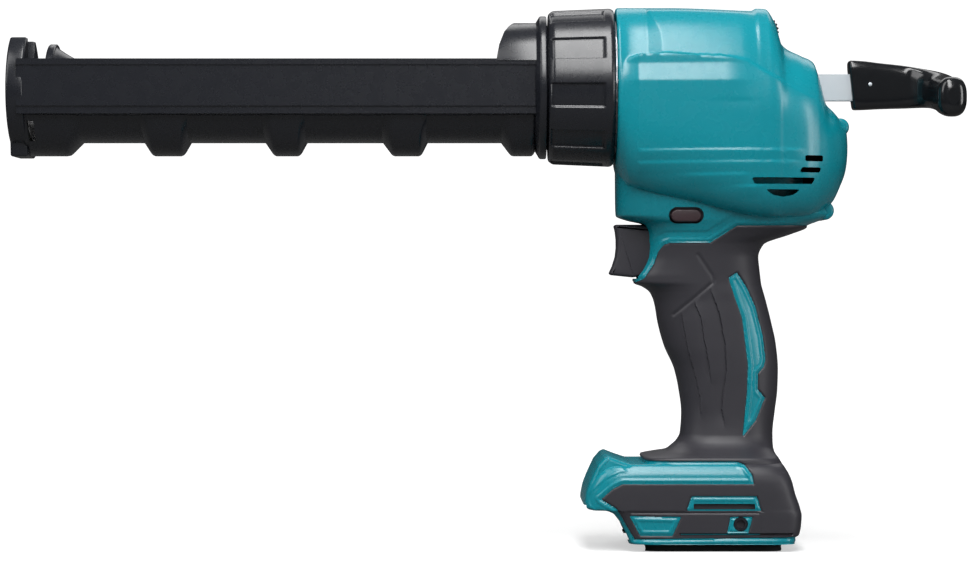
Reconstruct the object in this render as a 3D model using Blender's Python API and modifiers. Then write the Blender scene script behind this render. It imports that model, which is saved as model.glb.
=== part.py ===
"""Cordless caulking gun, modelled as it comes apart on a bench.

Metres, +Z up. The gun points along -X and its centre plane is y = 0. Everything is placed from a datum
on the rod's axis at the housing's front face; the datum stands RISE above the ground, and REACH behind
it lies the origin, on the underside of the battery foot.
"""

import math

import bmesh
import bpy
from mathutils import Matrix, Vector

MM = 0.001
GAP = 0.3 * MM  # clearance left between pieces that touch

# Placing
RISE = 226.5 * MM  # rod axis above the foot's underside
REACH = -84.5 * MM  # datum, seen from the origin

# Holder and its nut
BORE_RADIUS = 25.6 * MM  # room for a 50 mm cartridge
TROUGH_WALL = 1.8 * MM
BAND_HALF = 29 * MM
WALL_TOP, BAND_LOW = 12.4 * MM, -15 * MM
HOLDER_FRONT, END_WALL = -296.8 * MM, 7.2 * MM
HOLDER_INNER = HOLDER_FRONT + END_WALL
HOOD_FRONT, HOOD_REAR, HOOD_RADIUS = -57 * MM, -36.4 * MM, 32 * MM
HOOP_LOW = -33.9 * MM
NOZZLE_SLOT_HALF = 12 * MM
COLLAR_FRONT, COLLAR_REAR = -33.2 * MM, -0.5 * MM
COLLAR_RADIUS, COLLAR_GROW = 37.8 * MM, 1.3 * MM
FLUTES = 10
SPIGOT_RADIUS, SPIGOT_FRONT = 33 * MM, -22.4 * MM

# Push rod
ROD_HEIGHT = 13 * MM
ROD_THICKNESS = 7 * MM
RACK_MODULE = 2 * MM
PINION_TEETH = 9
PISTON_FACE = HOLDER_INNER + 10.4 * MM
PISTON_RADIUS = BORE_RADIUS - 4.1 * MM
ROD_FRONT, ROD_REAR = PISTON_FACE + 11.2 * MM, 126 * MM
PISTON_RIM, PISTON_LENGTH = 4 * MM, 21 * MM
PIN_AT = (122 * MM, 3.3 * MM)
PIN_RADIUS = 1.5 * MM
HANDLE_HALF = 6 * MM
LEVER_REACH = 47 * MM

# Housing
WALL = 2.8 * MM
SPLIT = 0.15 * MM  # each half stops this far from the centre plane
COVER = 1.6 * MM  # thickness of the soft overmould
COVER_BED = 0.5 * MM  # clearance between it and the shell
FOOT_HALF = 38.3 * MM
FOOT_LOW = -RISE
RECESS_HALF, RECESS_TOP, RECESS_REAR = 33.5 * MM, -204 * MM, 79 * MM
RAIL_INNER, RAIL_TOP = 28.5 * MM, -221 * MM
BOSS_RADIUS = 5.2 * MM
SCREW_AT = ((13.5, 27), (56, 25), (103, -53), (9.5, -55), (45, -118), (47, -158), (3, -193), (80, -196))
SCREW_HEAD, SCREW_SHANK, SCREW_LENGTH = 3.4 * MM, 1.9 * MM, 20 * MM
SEAT_DEPTH = 10 * MM  # screw seats lie this far from the centre plane

# Drive train
SHAFT_X = 24 * MM
SHAFT_RADIUS = 4 * MM
SPUR_MODULE, SMALL_TEETH, LARGE_TEETH = 1.5 * MM, 11, 23
BEVEL_MODULE, BEVEL_SMALL, BEVEL_LARGE = 1.5 * MM, 8, 16
PLANET_MODULE, SUN_TEETH, PLANET_TEETH = 1 * MM, 9, 12
PINION_Z = -ROD_HEIGHT / 2 + RACK_MODULE - PINION_TEETH * RACK_MODULE / 2
MOTOR_Z = PINION_Z - (SMALL_TEETH + LARGE_TEETH) * SPUR_MODULE / 2
RING_TEETH = SUN_TEETH + 2 * PLANET_TEETH
CAN_RADIUS, CAN_FRONT, CAN_REAR = 18 * MM, 58 * MM, 93 * MM

# Controls
TRIGGER_HALF = 8.8 * MM
TRIGGER_TRAVEL = 7 * MM
LOCK_AT, LOCK_LENGTH, LOCK_HEIGHT = (34.1 * MM, -63.6 * MM), 15.4 * MM, 6.4 * MM
DIAL_AT, DIAL_RADIUS, DIAL_HALF = (73.3 * MM, 27.8 * MM), 8 * MM, 4 * MM

# Colours, straight from each finish: (red, green, blue, roughness, metallic)
TEAL = (0.0, 0.27, 0.33, 0.38, 0.0)
SOFT_BLACK = (0.035, 0.033, 0.04, 0.62, 0.0)
BLACK = (0.02, 0.022, 0.027, 0.35, 0.0)
STEEL = (0.55, 0.56, 0.58, 0.3, 1.0)
DARK_STEEL = (0.2, 0.2, 0.21, 0.4, 1.0)
ALLOY = (0.6, 0.6, 0.61, 0.45, 1.0)
BRASS = (0.7, 0.5, 0.2, 0.35, 1.0)
COPPER = (0.75, 0.35, 0.2, 0.35, 1.0)
BOARD_GREEN = (0.02, 0.15, 0.06, 0.5, 0.0)
RED = (0.4, 0.02, 0.02, 0.5, 0.0)


def clear_scene():
    for obj in list(bpy.data.objects):
        bpy.data.objects.remove(obj, do_unlink=True)


def new_collection(name):
    made = bpy.data.collections.new(name)
    bpy.context.scene.collection.children.link(made)
    return made


clear_scene()
PARTS = new_collection("caulking_gun")
CUTTERS = new_collection("cutters")
DATUM = bpy.data.objects.new("datum", None)
PARTS.objects.link(DATUM)
DATUM.location = (REACH, 0, RISE)


# ---- Building blocks ------------------------------------------------------------------------------


def mm(points):
    """Points written in millimetres, in metres."""
    return [tuple(value * MM for value in point) for point in points]


def add(mesh, at=(0, 0, 0)):
    """An object of this mesh, kept with the cutters until finish() makes it a part."""
    obj = bpy.data.objects.new("tool", mesh)
    CUTTERS.objects.link(obj)
    obj.hide_render = True
    obj.display_type = "WIRE"
    obj.parent = DATUM
    obj.location = at
    return obj


def finish(obj, name, look, pivot=None, flat=0.5):
    """Moves a solid from the cutters to the parts, with its own material and, if it turns, its pivot."""
    merge_flat_faces(obj, flat)
    CUTTERS.objects.unlink(obj)
    PARTS.objects.link(obj)
    obj.name = name
    obj.hide_render = False
    obj.display_type = "TEXTURED"
    material = bpy.data.materials.new(name)
    material.use_nodes = True
    shader = material.node_tree.nodes["Principled BSDF"]
    shader.inputs["Base Color"].default_value = (*look[:3], 1)
    shader.inputs["Roughness"].default_value = look[3]
    shader.inputs["Metallic"].default_value = look[4]
    obj.data.materials.clear()
    obj.data.materials.append(material)
    if pivot is not None:
        obj.data = obj.data.copy()
        obj.data.transform(Matrix.Translation(-Vector(pivot)))
        obj.location = Vector(obj.location) + Vector(pivot)
    return obj


def mesh_from(build):
    """A mesh made by a function that fills a bmesh."""
    shape = bmesh.new()
    build(shape)
    bmesh.ops.recalc_face_normals(shape, faces=shape.faces)
    mesh = bpy.data.meshes.new("shape")
    shape.to_mesh(mesh)
    shape.free()
    return mesh


def box(low, high):
    size = [b - a for a, b in zip(low, high)]
    middle = [(a + b) / 2 for a, b in zip(low, high)]
    place = Matrix.Translation(middle) @ Matrix.Diagonal((*size, 1))
    return add(mesh_from(lambda shape: bmesh.ops.create_cube(shape, size=1, matrix=place)))


def turn_onto(axis):
    """The rotation that lays local Z along X, Y or Z."""
    return {
        "X": Matrix.Rotation(math.pi / 2, 4, "Y"),
        "Y": Matrix.Rotation(-math.pi / 2, 4, "X"),
        "Z": Matrix.Identity(4),
    }[axis]


def rod(axis, radius, start, end, at=(0, 0, 0), sides=14):
    """A round bar along an axis from start to end, through the point at."""
    place = Matrix.Translation(at) @ turn_onto(axis) @ Matrix.Translation((0, 0, (start + end) / 2))

    def build(shape):
        bmesh.ops.create_cone(
            shape, cap_ends=True, segments=sides, radius1=radius, radius2=radius, depth=end - start, matrix=place
        )

    return add(mesh_from(build))


def turned(axis, profile, at=(0, 0, 0), steps=24):
    """A profile of (along, radius) points turned about an axis through the point at."""
    mesh = bpy.data.meshes.new("profile")
    count = len(profile)
    edges = [(k, k + 1) for k in range(count - 1)]
    if profile[0][1] > 0:
        edges.append((count - 1, 0))
    mesh.from_pydata([(radius, 0, along) for along, radius in profile], edges, [])
    obj = add(mesh)
    screw = obj.modifiers.new("turn", "SCREW")
    screw.steps = screw.render_steps = steps
    screw.use_merge_vertices = True
    screw.merge_threshold = 0.00001
    solid = baked(obj)
    solid.data.transform(Matrix.Translation(at) @ turn_onto(axis))
    return faced_out(solid)


def merge_flat_faces(obj, angle):
    """Joins the slivers that cutting leaves in faces that turn less than this angle, in degrees."""
    shape = bmesh.new()
    shape.from_mesh(obj.data)
    bmesh.ops.remove_doubles(shape, verts=shape.verts, dist=0.000002)
    bmesh.ops.dissolve_limit(shape, angle_limit=math.radians(angle), verts=shape.verts, edges=shape.edges)
    shape.to_mesh(obj.data)
    shape.free()


def faced_out(obj):
    """The solid with its loose caps welded on and its faces pointing out."""
    shape = bmesh.new()
    shape.from_mesh(obj.data)
    bmesh.ops.remove_doubles(shape, verts=shape.verts, dist=0.000001)
    bmesh.ops.recalc_face_normals(shape, faces=shape.faces)
    shape.to_mesh(obj.data)
    shape.free()
    return obj


def baked(obj):
    """The object with its modifiers made real."""
    bpy.context.view_layer.update()
    graph = bpy.context.evaluated_depsgraph_get()
    mesh = bpy.data.meshes.new_from_object(obj.evaluated_get(graph))
    at = tuple(obj.location)
    bpy.data.objects.remove(obj)
    return add(mesh, at=at)


def plate(outline, low, high, plane="XZ"):
    """A flat outline extruded into a solid: XZ outlines run from y = low to high, YZ ones along x."""

    def build(shape):
        corners = []
        for across, up in outline:
            corners.append(shape.verts.new((across, low, up) if plane == "XZ" else (low, across, up)))
        face = shape.faces.new(corners)
        made = bmesh.ops.extrude_face_region(shape, geom=[face])["geom"]
        moved = [item for item in made if isinstance(item, bmesh.types.BMVert)]
        shift = (0, high - low, 0) if plane == "XZ" else (high - low, 0, 0)
        bmesh.ops.translate(shape, verts=moved, vec=shift)

    return add(mesh_from(build))


def loft(rings):
    """A skin over closed rings of equal counts, with flat ends."""

    def build(shape):
        rows = [[shape.verts.new(point) for point in ring] for ring in rings]
        for near, far in zip(rows, rows[1:]):
            for k in range(len(near)):
                after = (k + 1) % len(near)
                shape.faces.new((near[k], near[after], far[after], far[k]))
        shape.faces.new(rows[0])
        shape.faces.new(rows[-1])

    return add(mesh_from(build))


def tube(points, radius, sides=2):
    """A round lead along points, with filled ends."""
    curve = bpy.data.curves.new("lead", "CURVE")
    curve.dimensions = "3D"
    curve.bevel_depth = radius
    curve.bevel_resolution = sides
    curve.use_fill_caps = True
    spline = curve.splines.new("POLY")
    spline.points.add(len(points) - 1)
    for point, place in zip(spline.points, points):
        point.co = (*place, 1)
    return faced_out(baked(add(curve)))


def combine(obj, others, how="DIFFERENCE", solver="EXACT"):
    """Cuts, joins or intersects a solid with others, one at a time and cleaned after each."""
    for other in others:
        step = obj.modifiers.new(how.lower(), "BOOLEAN")
        step.operation = how
        step.solver = solver
        step.object = other
        obj = baked(obj)
        shape = bmesh.new()
        shape.from_mesh(obj.data)
        bmesh.ops.remove_doubles(shape, verts=shape.verts, dist=0.000005)
        bmesh.ops.dissolve_degenerate(shape, edges=shape.edges, dist=0.000005)
        shape.to_mesh(obj.data)
        shape.free()
    return obj


def cut(obj, *others):
    return combine(obj, others)


def carved(obj, *others):
    """A cut in a thin shell with many crossings, where the exact solver drops the whole shell."""
    return combine(obj, others, solver="MANIFOLD")


def join(obj, *others):
    return combine(obj, others, "UNION")


def common(obj, *others):
    return combine(obj, others, "INTERSECT")


def copy_of(obj):
    return add(obj.data.copy(), at=tuple(obj.location))


def bevelled(obj, width, segments=1, angle=40):
    bevel = obj.modifiers.new("edges", "BEVEL")
    bevel.width = width
    bevel.segments = segments
    bevel.limit_method = "ANGLE"
    bevel.angle_limit = math.radians(angle)
    return baked(obj)


def grown(outline, by):
    """A closed outline moved outwards, or inwards when by is negative, with its corners kept sharp."""
    turn = sum(a[0] * b[1] - b[0] * a[1] for a, b in zip(outline, outline[1:] + outline[:1]))
    side = 1 if turn > 0 else -1
    moved = []
    for before, here, after in zip(outline[-1:] + outline[:-1], outline, outline[1:] + outline[:1]):
        back = Vector((here[0] - before[0], here[1] - before[1])).normalized()
        ahead = Vector((after[0] - here[0], after[1] - here[1])).normalized()
        normal = Vector((back.y + ahead.y, -back.x - ahead.x)).normalized()
        reach = by * side / max(0.4, normal.dot(Vector((ahead.y, -ahead.x))))
        moved.append((here[0] + normal.x * reach, here[1] + normal.y * reach))
    return moved


def arc(centre, radius, start, end, count, squash=1.0):
    """Points along an arc, angles in degrees."""
    points = []
    for k in range(count):
        angle = math.radians(start + (end - start) * k / (count - 1))
        points.append((centre[0] + radius * math.cos(angle), centre[1] + radius * squash * math.sin(angle)))
    return points


def oval(half, low, high, widest, power_high=2.0, power_low=2.0, count=32):
    """A ring of (side, height) points: two half superellipses that meet at their widest."""
    ring = []
    for k in range(count):
        angle = 2 * math.pi * k / count
        sine, cosine = math.sin(angle), math.cos(angle)
        power = 2 / (power_high if sine >= 0 else power_low)
        reach = (high - widest) if sine >= 0 else (low - widest)
        side = math.copysign(half * abs(cosine) ** power, cosine)
        ring.append((side, widest + reach * abs(sine) ** power))
    return ring


def gear_outline(teeth, pitch, tip, root, first=0.0, share=0.40):
    """A toothed wheel's points round its centre. first is a tooth's angle, share its width at the pitch line."""
    points = []
    step = 2 * math.pi / teeth
    waist = share / 2 * step
    crest, foot = (waist * 0.55, waist * 1.35)
    for k in range(teeth):
        middle = first + k * step
        for radius, angle in ((root, -foot), (tip, -crest), (tip, crest), (root, foot)):
            points.append((radius * math.cos(middle + angle), radius * math.sin(middle + angle)))
    return points


def toothed(axis, outline, start, end, at, shrink=1.0):
    """A toothed bar between two planes across its axis. A bevel wheel shrinks towards its apex."""
    rings = []
    for along, scale in ((start, shrink), (end, 1.0)):
        ring = []
        for first, second in outline:
            first, second = first * scale, second * scale
            if axis == "X":
                ring.append((along, at[1] + first, at[2] + second))
            else:
                ring.append((at[0] + first, along, at[2] + second))
        rings.append(ring)
    return loft(rings)


# ---- Push rod -------------------------------------------------------------------------------------


def rack_outline():
    """Side outline of the bar, with rack teeth along its underside from the piston to the housing."""
    pitch = math.pi * RACK_MODULE
    low = -ROD_HEIGHT / 2
    root = low + 2 * RACK_MODULE
    first, last = ROD_FRONT + 22 * MM, SHAFT_X + 24 * MM
    start = math.ceil((first - SHAFT_X) / pitch - 0.5)
    end = math.floor((last - SHAFT_X) / pitch - 0.5)
    points = [(ROD_FRONT, low), (ROD_FRONT, ROD_HEIGHT / 2), (ROD_REAR, ROD_HEIGHT / 2), (ROD_REAR, low)]
    for k in range(end, start - 1, -1):
        gap = SHAFT_X + k * pitch
        points += [(gap + 0.33 * pitch, low), (gap + 0.21 * pitch, root)]
        points += [(gap - 0.21 * pitch, root), (gap - 0.33 * pitch, low)]
    return points


def make_push_rod():
    half = ROD_THICKNESS / 2
    bar = plate(rack_outline(), -half, half)
    bore = rod("X", 2.2 * MM, ROD_FRONT - MM, ROD_FRONT + 13 * MM)
    hole = rod("Y", PIN_RADIUS + GAP, -half - MM, half + MM, (PIN_AT[0], 0, PIN_AT[1]), 16)
    finish(cut(bar, bore, hole), "rack_rod", STEEL)
    make_piston(half)
    make_handle(half)


def make_piston(half):
    rear = PISTON_FACE + PISTON_LENGTH
    profile = [
        (rear, 0),
        (rear, 10 * MM),
        (PISTON_FACE + PISTON_RIM, PISTON_RADIUS - 1.5 * MM),
        (PISTON_FACE + PISTON_RIM, PISTON_RADIUS),
        (PISTON_FACE + MM, PISTON_RADIUS),
        (PISTON_FACE, PISTON_RADIUS - MM),
        (PISTON_FACE, 0),
    ]
    body = turned("X", profile)
    slot = box(
        (ROD_FRONT - GAP, -half - GAP, -ROD_HEIGHT / 2 - GAP), (rear + MM, half + GAP, ROD_HEIGHT / 2 + GAP)
    )
    through = rod("X", 2.4 * MM, PISTON_FACE - MM, ROD_FRONT + MM)
    sink = rod("X", 5.4 * MM, PISTON_FACE - MM, PISTON_FACE + 4 * MM)
    finish(cut(body, slot, through, sink), "piston", BLACK)
    shank_end = ROD_FRONT + 12 * MM
    profile = [
        (shank_end, 0),
        (shank_end, 1.9 * MM),
        (PISTON_FACE + 3.7 * MM, 1.9 * MM),
        (PISTON_FACE + 3.7 * MM, 4.8 * MM),
        (PISTON_FACE + 0.8 * MM, 4.4 * MM),
        (PISTON_FACE + 0.8 * MM, 0),
    ]
    finish(turned("X", profile, steps=20), "piston_screw", STEEL)


def make_handle(half):
    """A flat grip that takes the rod's end, then bends to the side into a rounded pull."""
    outline = mm(
        [(118.5, -8), (114.1, 10.2), (116.6, 13.6), (122, 13.2)]
        + [(133.3, 10.9), (147, 8.4), (147, -10.4), (122, -10.8)]
    )
    body = bevelled(plate(outline, -HANDLE_HALF, HANDLE_HALF), 1.5 * MM)
    stations = (  # centre x, y, z, half width across, half height, lean of the section in degrees
        (140, 0, -0.9, 5.6, 9.0, 0),
        (149, -1, -1.6, 6.0, 9.2, 15),
        (156, -6, -2.8, 6.6, 8.6, 50),
        (159.6, -14, -4.4, 6.8, 8.4, 78),
        (160.4, -24, -5.8, 6.9, 8.6, 88),
        (160.6, -36, -6.8, 7.3, 9.4, 90),
        (160.6, -43, -7.1, 7.2, 9.6, 90),
        (160.6, -45.8, -7.1, 6.0, 8.2, 90),
        (160.6, -LEVER_REACH / MM, -7.1, 3.6, 5.2, 90),
    )
    rings = []
    for x, y, z, wide, tall, lean in stations:
        across = Vector((math.sin(math.radians(lean)), math.cos(math.radians(lean)), 0))
        ring = []
        for side, up in oval(wide, -tall, tall, 0, 2.6, 2.6, 16):
            ring.append(tuple((Vector((x, y, z)) + across * side + Vector((0, 0, up))) * MM))
        rings.append(ring)
    slot = box(
        (110 * MM, -half - GAP, -ROD_HEIGHT / 2 - GAP), (ROD_REAR + GAP, half + GAP, ROD_HEIGHT / 2 + GAP)
    )
    hole = rod("Y", PIN_RADIUS + GAP, -10 * MM, 10 * MM, (PIN_AT[0], 0, PIN_AT[1]), 16)
    finish(cut(join(body, loft(rings)), slot, hole), "rod_handle", BLACK)
    pin = rod("Y", PIN_RADIUS, -HANDLE_HALF + 0.4 * MM, HANDLE_HALF - 0.4 * MM, (PIN_AT[0], 0, PIN_AT[1]), 16)
    finish(pin, "handle_pin", STEEL)


# ---- Cartridge holder and its nut -----------------------------------------------------------------


def trough_outline():
    """Section of the half pipe: a round bottom that carries on up into flat side bands."""
    outer = BORE_RADIUS + TROUGH_WALL
    start = -math.degrees(math.asin(-BAND_LOW / outer))
    points = [(BAND_HALF, WALL_TOP), (BORE_RADIUS, WALL_TOP)]
    points += arc((0, 0), BORE_RADIUS, 0, -180, 15)
    points += [(-BORE_RADIUS, WALL_TOP), (-BAND_HALF, WALL_TOP), (-BAND_HALF, BAND_LOW + 1.5 * MM)]
    points += arc((0, 0), outer, -180 - start, start, 11)
    points += [(BAND_HALF, BAND_LOW + 1.5 * MM)]
    return points


def make_holder():
    body = plate(trough_outline(), HOLDER_INNER - 2 * MM, HOOD_REAR - 4 * MM, "YZ")
    cap_outline = arc((0, -2 * MM), 29.5 * MM, 62, -62, 13)
    cap_outline = [(13 * MM, 24 * MM)] + cap_outline + [(13 * MM, -34.5 * MM)]
    cap_outline += [(-y, z) for y, z in reversed(cap_outline)]
    cap = bevelled(plate(cap_outline, HOLDER_FRONT, HOLDER_INNER, "YZ"), 1.2 * MM)
    lips = []
    for turn in (20, 125):
        band = arc((0, 0), 27.5 * MM, turn, turn + 35, 6) + arc((0, 0), 24.5 * MM, turn + 35, turn, 6)
        lips.append(plate(band, HOLDER_INNER - MM, HOLDER_INNER + 5 * MM, "YZ"))
    hoops = []
    first, last = HOLDER_FRONT / MM + 4.8, HOOD_FRONT / MM + 0.6
    for share, front, rear, top_rear in (  # share of the way to the hood, and edges from where it starts
        (0, 2, 23, 30),
        (0.2526, 4.5, 19.5, 23.5),
        (0.506, 4.8, 17.4, 21.3),
        (0.7521, 5.3, 19.3, 22.8),
        (1, 5.4, 16.4, 18.9),
    ):
        start, low = first + share * (last - first), HOOP_LOW / MM
        outline = mm([(start, -22), (start + front, low), (start + rear, low), (start + top_rear, -22)])
        hoops.append(bevelled(plate(outline, -17 * MM, 17 * MM), 1.2 * MM))
    hood_wall = ((HOOD_REAR, HOOD_RADIUS), (HOOD_REAR, 27 * MM), (HOOD_FRONT, 27 * MM), (HOOD_FRONT, HOOD_RADIUS))
    hood = turned("X", hood_wall)
    slope = plate(
        mm([(-70, 60), (-70, 11)]) + arc((-49 * MM, 12 * MM), 9.5 * MM, 190, 108, 6) + mm([(-49, 60)]),
        -60 * MM,
        60 * MM,
    )
    hood = cut(hood, slope)
    shoulder = HOOD_REAR + 3.1 * MM
    neck = turned(
        "X",
        [
            (-24 * MM, SPIGOT_RADIUS - 0.4 * MM),
            (-24 * MM, 26.6 * MM),
            (HOOD_REAR - 3 * MM, 26.6 * MM),
            (HOOD_REAR - 3 * MM, 31 * MM),
            (HOOD_REAR - 0.6 * MM, 35.3 * MM),
            (shoulder - 0.3 * MM, 35.3 * MM),
            (shoulder - 0.3 * MM, 30.6 * MM),
            (-28 * MM, 30.6 * MM),
            (-28 * MM, SPIGOT_RADIUS - 0.4 * MM),
        ],
    )
    # The hoops stop inside the wall, so that none is left standing in the bore.
    inside = rod("X", BORE_RADIUS + TROUGH_WALL / 2, HOLDER_INNER, HOOD_REAR, sides=36)
    hoops = [cut(hoop, copy_of(inside)) for hoop in hoops]
    body = join(body, cap, *lips, hood, neck, *hoops)
    # The nozzle drops into a slot that is open at the top and round at its lower end.
    slot_outline = [(NOZZLE_SLOT_HALF, 40 * MM)] + arc((0, 0), NOZZLE_SLOT_HALF, 0, -180, 15)
    slot_outline += [(-NOZZLE_SLOT_HALF, 40 * MM)]
    slot = plate(slot_outline, HOLDER_FRONT - MM, HOLDER_INNER + 0.5 * MM, "YZ")
    windows, start, end = [], HOLDER_INNER + 0.8 * MM, HOLDER_INNER + 7.3 * MM
    for side in (-1, 1):
        near, far = sorted((side * 10 * MM, side * 40 * MM))
        windows.append(box((start, near, -27 * MM), (end, far, -18 * MM)))
    finish(cut(body, slot, *windows), "cartridge_holder", BLACK)


def make_collar():
    """The ring nut: a lip in front traps the holder's flange, and flutes give the hand a hold."""
    rear_radius = COLLAR_RADIUS + COLLAR_GROW
    profile = [
        (COLLAR_REAR, rear_radius - 1.2 * MM),
        (COLLAR_REAR, SPIGOT_RADIUS + 0.5 * MM),
        (-28.6 * MM + GAP, SPIGOT_RADIUS + 0.5 * MM),
        (-28.6 * MM + GAP, 31.1 * MM),
        (COLLAR_FRONT + GAP, 31.1 * MM),
        (COLLAR_FRONT + GAP, COLLAR_RADIUS - 2 * MM),
        (COLLAR_FRONT + 2.4 * MM, COLLAR_RADIUS),
        (COLLAR_REAR - 1.2 * MM, rear_radius),
    ]
    nut = turned("X", profile, steps=30)
    flutes = []
    for k in range(FLUTES):
        turn = Matrix.Rotation(2 * math.pi * (k + 0.5) / FLUTES, 4, "X")
        flute = box((-27.7 * MM, -5.6 * MM, 37.2 * MM), (-5.6 * MM, 5.6 * MM, 45 * MM))
        flute.data.transform(turn)
        flutes.append(flute)
    finish(cut(nut, *flutes), "collar_nut", BLACK)


# ---- Housing --------------------------------------------------------------------------------------

BARREL_SECTIONS = (  # x, top, bottom, half width, height of the widest line, fullness above and below
    (0.3, 39.4, -42, 39.4, 0, 2.0, 2.3),
    (6, 39.4, -51, 40, -6, 2.05, 2.5),
    (14, 39.4, -54.2, 40, -8, 2.1, 2.7),
    (26, 39.4, -57.5, 40, -10, 2.1, 2.8),
    (40, 39.1, -60.2, 40, -12, 2.1, 2.8),
    (54, 38.5, -62.4, 40, -14, 2.1, 2.8),
    (67.5, 38.0, -63.3, 39.6, -16, 2.1, 2.8),
    (70, 39.1, -63.3, 39.4, -16, 2.1, 2.8),
    (74.2, 38.9, -63.4, 39, -17, 2.1, 2.8),
    (80.5, 30.9, -63.4, 38.2, -20, 2.2, 2.8),
    (82.2, 22.0, -63.3, 38, -22, 2.3, 2.8),
    (91.6, 15.6, -62.9, 35.6, -25, 2.4, 2.8),
    (97.5, 12.6, -62.5, 33, -27, 2.4, 2.8),
    (99.4, 6.9, -62.2, 31.8, -28, 2.4, 2.7),
    (103.5, -7.7, -60.5, 28.8, -30, 2.4, 2.6),
    (107.3, -11.5, -57.0, 25, -32, 2.4, 2.5),
    (111.1, -16.1, -49.5, 19.5, -33, 2.3, 2.3),
    (113.6, -18.0, -43, 13.5, -32, 2.2, 2.2),
    (114.8, -21.5, -37, 7.5, -30, 2.0, 2.0),
)
GRIP_SECTIONS = (  # z, front, rear, half width, fullness
    (-44, 0.5, 98, 27.5, 3.6),
    (-58, 0.6, 103, 25.5, 3.6),
    (-63.4, 0.9, 105.8, 24.4, 3.5),
    (-65.6, 6, 103, 23.8, 3.4),
    (-67.4, 13.4, 97, 23, 3.3),
    (-69.6, 16.2, 94.4, 22, 3.1),
    (-72.5, 17.6, 86.9, 20.8, 2.9),
    (-77.5, 17.8, 73.7, 19.6, 2.7),
    (-83.7, 17.2, 71.1, 19, 2.6),
    (-89.3, 14.6, 71.6, 18.7, 2.6),
    (-93.6, 10.4, 72.1, 18.5, 2.6),
    (-96.2, 9.0, 72.4, 18.4, 2.6),
    (-98.2, 13.8, 72.8, 18.3, 2.5),
    (-101, 17.6, 73.6, 18.2, 2.5),
    (-106, 19.8, 75, 18, 2.5),
    (-116, 21.6, 77.5, 18, 2.5),
    (-127, 24.6, 79.8, 18, 2.5),
    (-139, 29.8, 80.8, 17.8, 2.5),
    (-149, 32.0, 80.5, 17.6, 2.5),
    (-160, 33.3, 79.2, 17.6, 2.5),
    (-170.7, 32.6, 78.1, 18.2, 2.6),
)
FLARE_SECTIONS = (
    (-164, 32.9, 78.5, 17.8, 2.5),
    (-170.7, 32.5, 78.0, 18.3, 2.6),
    (-174, 31, 78.1, 19.4, 2.7),
    (-177, 28, 78.2, 22.2, 2.9),
    (-179.2, 22.8, 78.5, 26.4, 3.4),
    (-180.6, 14.5, 79, 30.4, 4.2),
    (-181.9, 9.8, 79.8, 33.2, 5.0),
    (-186, 9.8, 82.2, 33.6, 5.4),
)
FOOT_SECTIONS = (
    (-184.3, -8.6, 80.9, 33.5, 7),
    (-186.5, -10, 82.3, 35.4, 8),
    (-189.5, -11.8, 84.3, 37.2, 9),
    (-193.3, -13.5, 86, 38.1, 10),
    (-198.4, -15.2, 87.5, FOOT_HALF / MM, 11),
    (-204.7, -16.1, 90.2, FOOT_HALF / MM, 11),
    (-206.3, -14.4, 90.8, FOOT_HALF / MM, 11),
    (-207.0, -6.8, 91.1, FOOT_HALF / MM, 11),
    (-209.3, -2.0, 91.8, FOOT_HALF / MM, 11),
    (-212.8, 0.7, 91.7, FOOT_HALF / MM, 11),
    (-218.2, 3.6, 90.7, FOOT_HALF / MM, 11),
    (-220.2, 4.4, 89, FOOT_HALF / MM, 11),
    (-224.5, 6.2, 88.8, FOOT_HALF / MM, 11),
    (FOOT_LOW / MM, 8.6, 87.8, FOOT_HALF / MM - 0.8, 11),
)
NOSE_OUTLINE = (
    (-10.6, -187),
    (-9.3, -185),
    (-6.2, -180),
    (-4.2, -178.9),
    (0.7, -181.1),
    (6.4, -183.6),
    (10, -184.6),
    (10, -187),
)
COVER_OUTLINE = (
    (7.9, -96.9),
    (13.9, -94.1),
    (18.7, -86.6),
    (20.6, -81),
    (23.4, -77.7),
    (26.2, -76.8),
    (45.8, -76.8),
    (58.9, -68.6),
    (110, -68.6),
    (110, -219.6),
    (84.6, -219.6),
    (7.9, -220.5),
    (3.2, -212.5),
    (-0.7, -205.5),
    (-8.3, -200.9),
    (-2.1, -195.5),
    (2.5, -193.3),
    (65.5, -193.3),
    (64.8, -189.3),
    (61.7, -184.7),
    (57.8, -183.2),
    (8, -183.2),
    (0, -170),
)
INLAY_OUTLINE = (
    (55.5, -94.1),
    (59.4, -91.6),
    (64, -98.3),
    (68.6, -108.1),
    (72.3, -122.6),
    (73.6, -134),
    (72.6, -137.6),
    (69.6, -140.9),
    (69.6, -148.8),
    (73.2, -152.9),
    (68.6, -163.8),
    (62.4, -171),
    (64.6, -149.4),
    (65, -136.3),
    (62.1, -113.4),
    (58.8, -104.2),
)
FOOT_ISLANDS = (
    ((33.6, -206.2), (35.9, -199.7), (67, -199.7), (69, -206.2)),
    ((6.3, -209.3), (30.2, -209.7), (26.3, -218.2), (11, -218.2)),
    ((54.7, -209.7), (64.8, -209.7), (62.8, -217), (53.2, -217)),
)
HOOK_AT = (59.4, -212.8)


def barrel(inset=0.0, chosen=None):
    """The barrel and side pods, lofted from front to rear through all or some of their sections."""
    rings = []
    sections = [BARREL_SECTIONS[k] for k in chosen] if chosen else BARREL_SECTIONS
    last = len(sections) - 1
    for k, (x, top, bottom, half, widest, above, below) in enumerate(sections):
        along = x * MM + (inset if k == 0 else -inset if k == last else 0)
        room = min(inset / MM, 0.8 * (top - bottom) / 2, 0.8 * half)
        ring = oval(half - room, bottom + room, top - room, widest, above, below, 16)
        rings.append([(along, side * MM, up * MM) for side, up in ring])
    return loft(rings)


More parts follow.
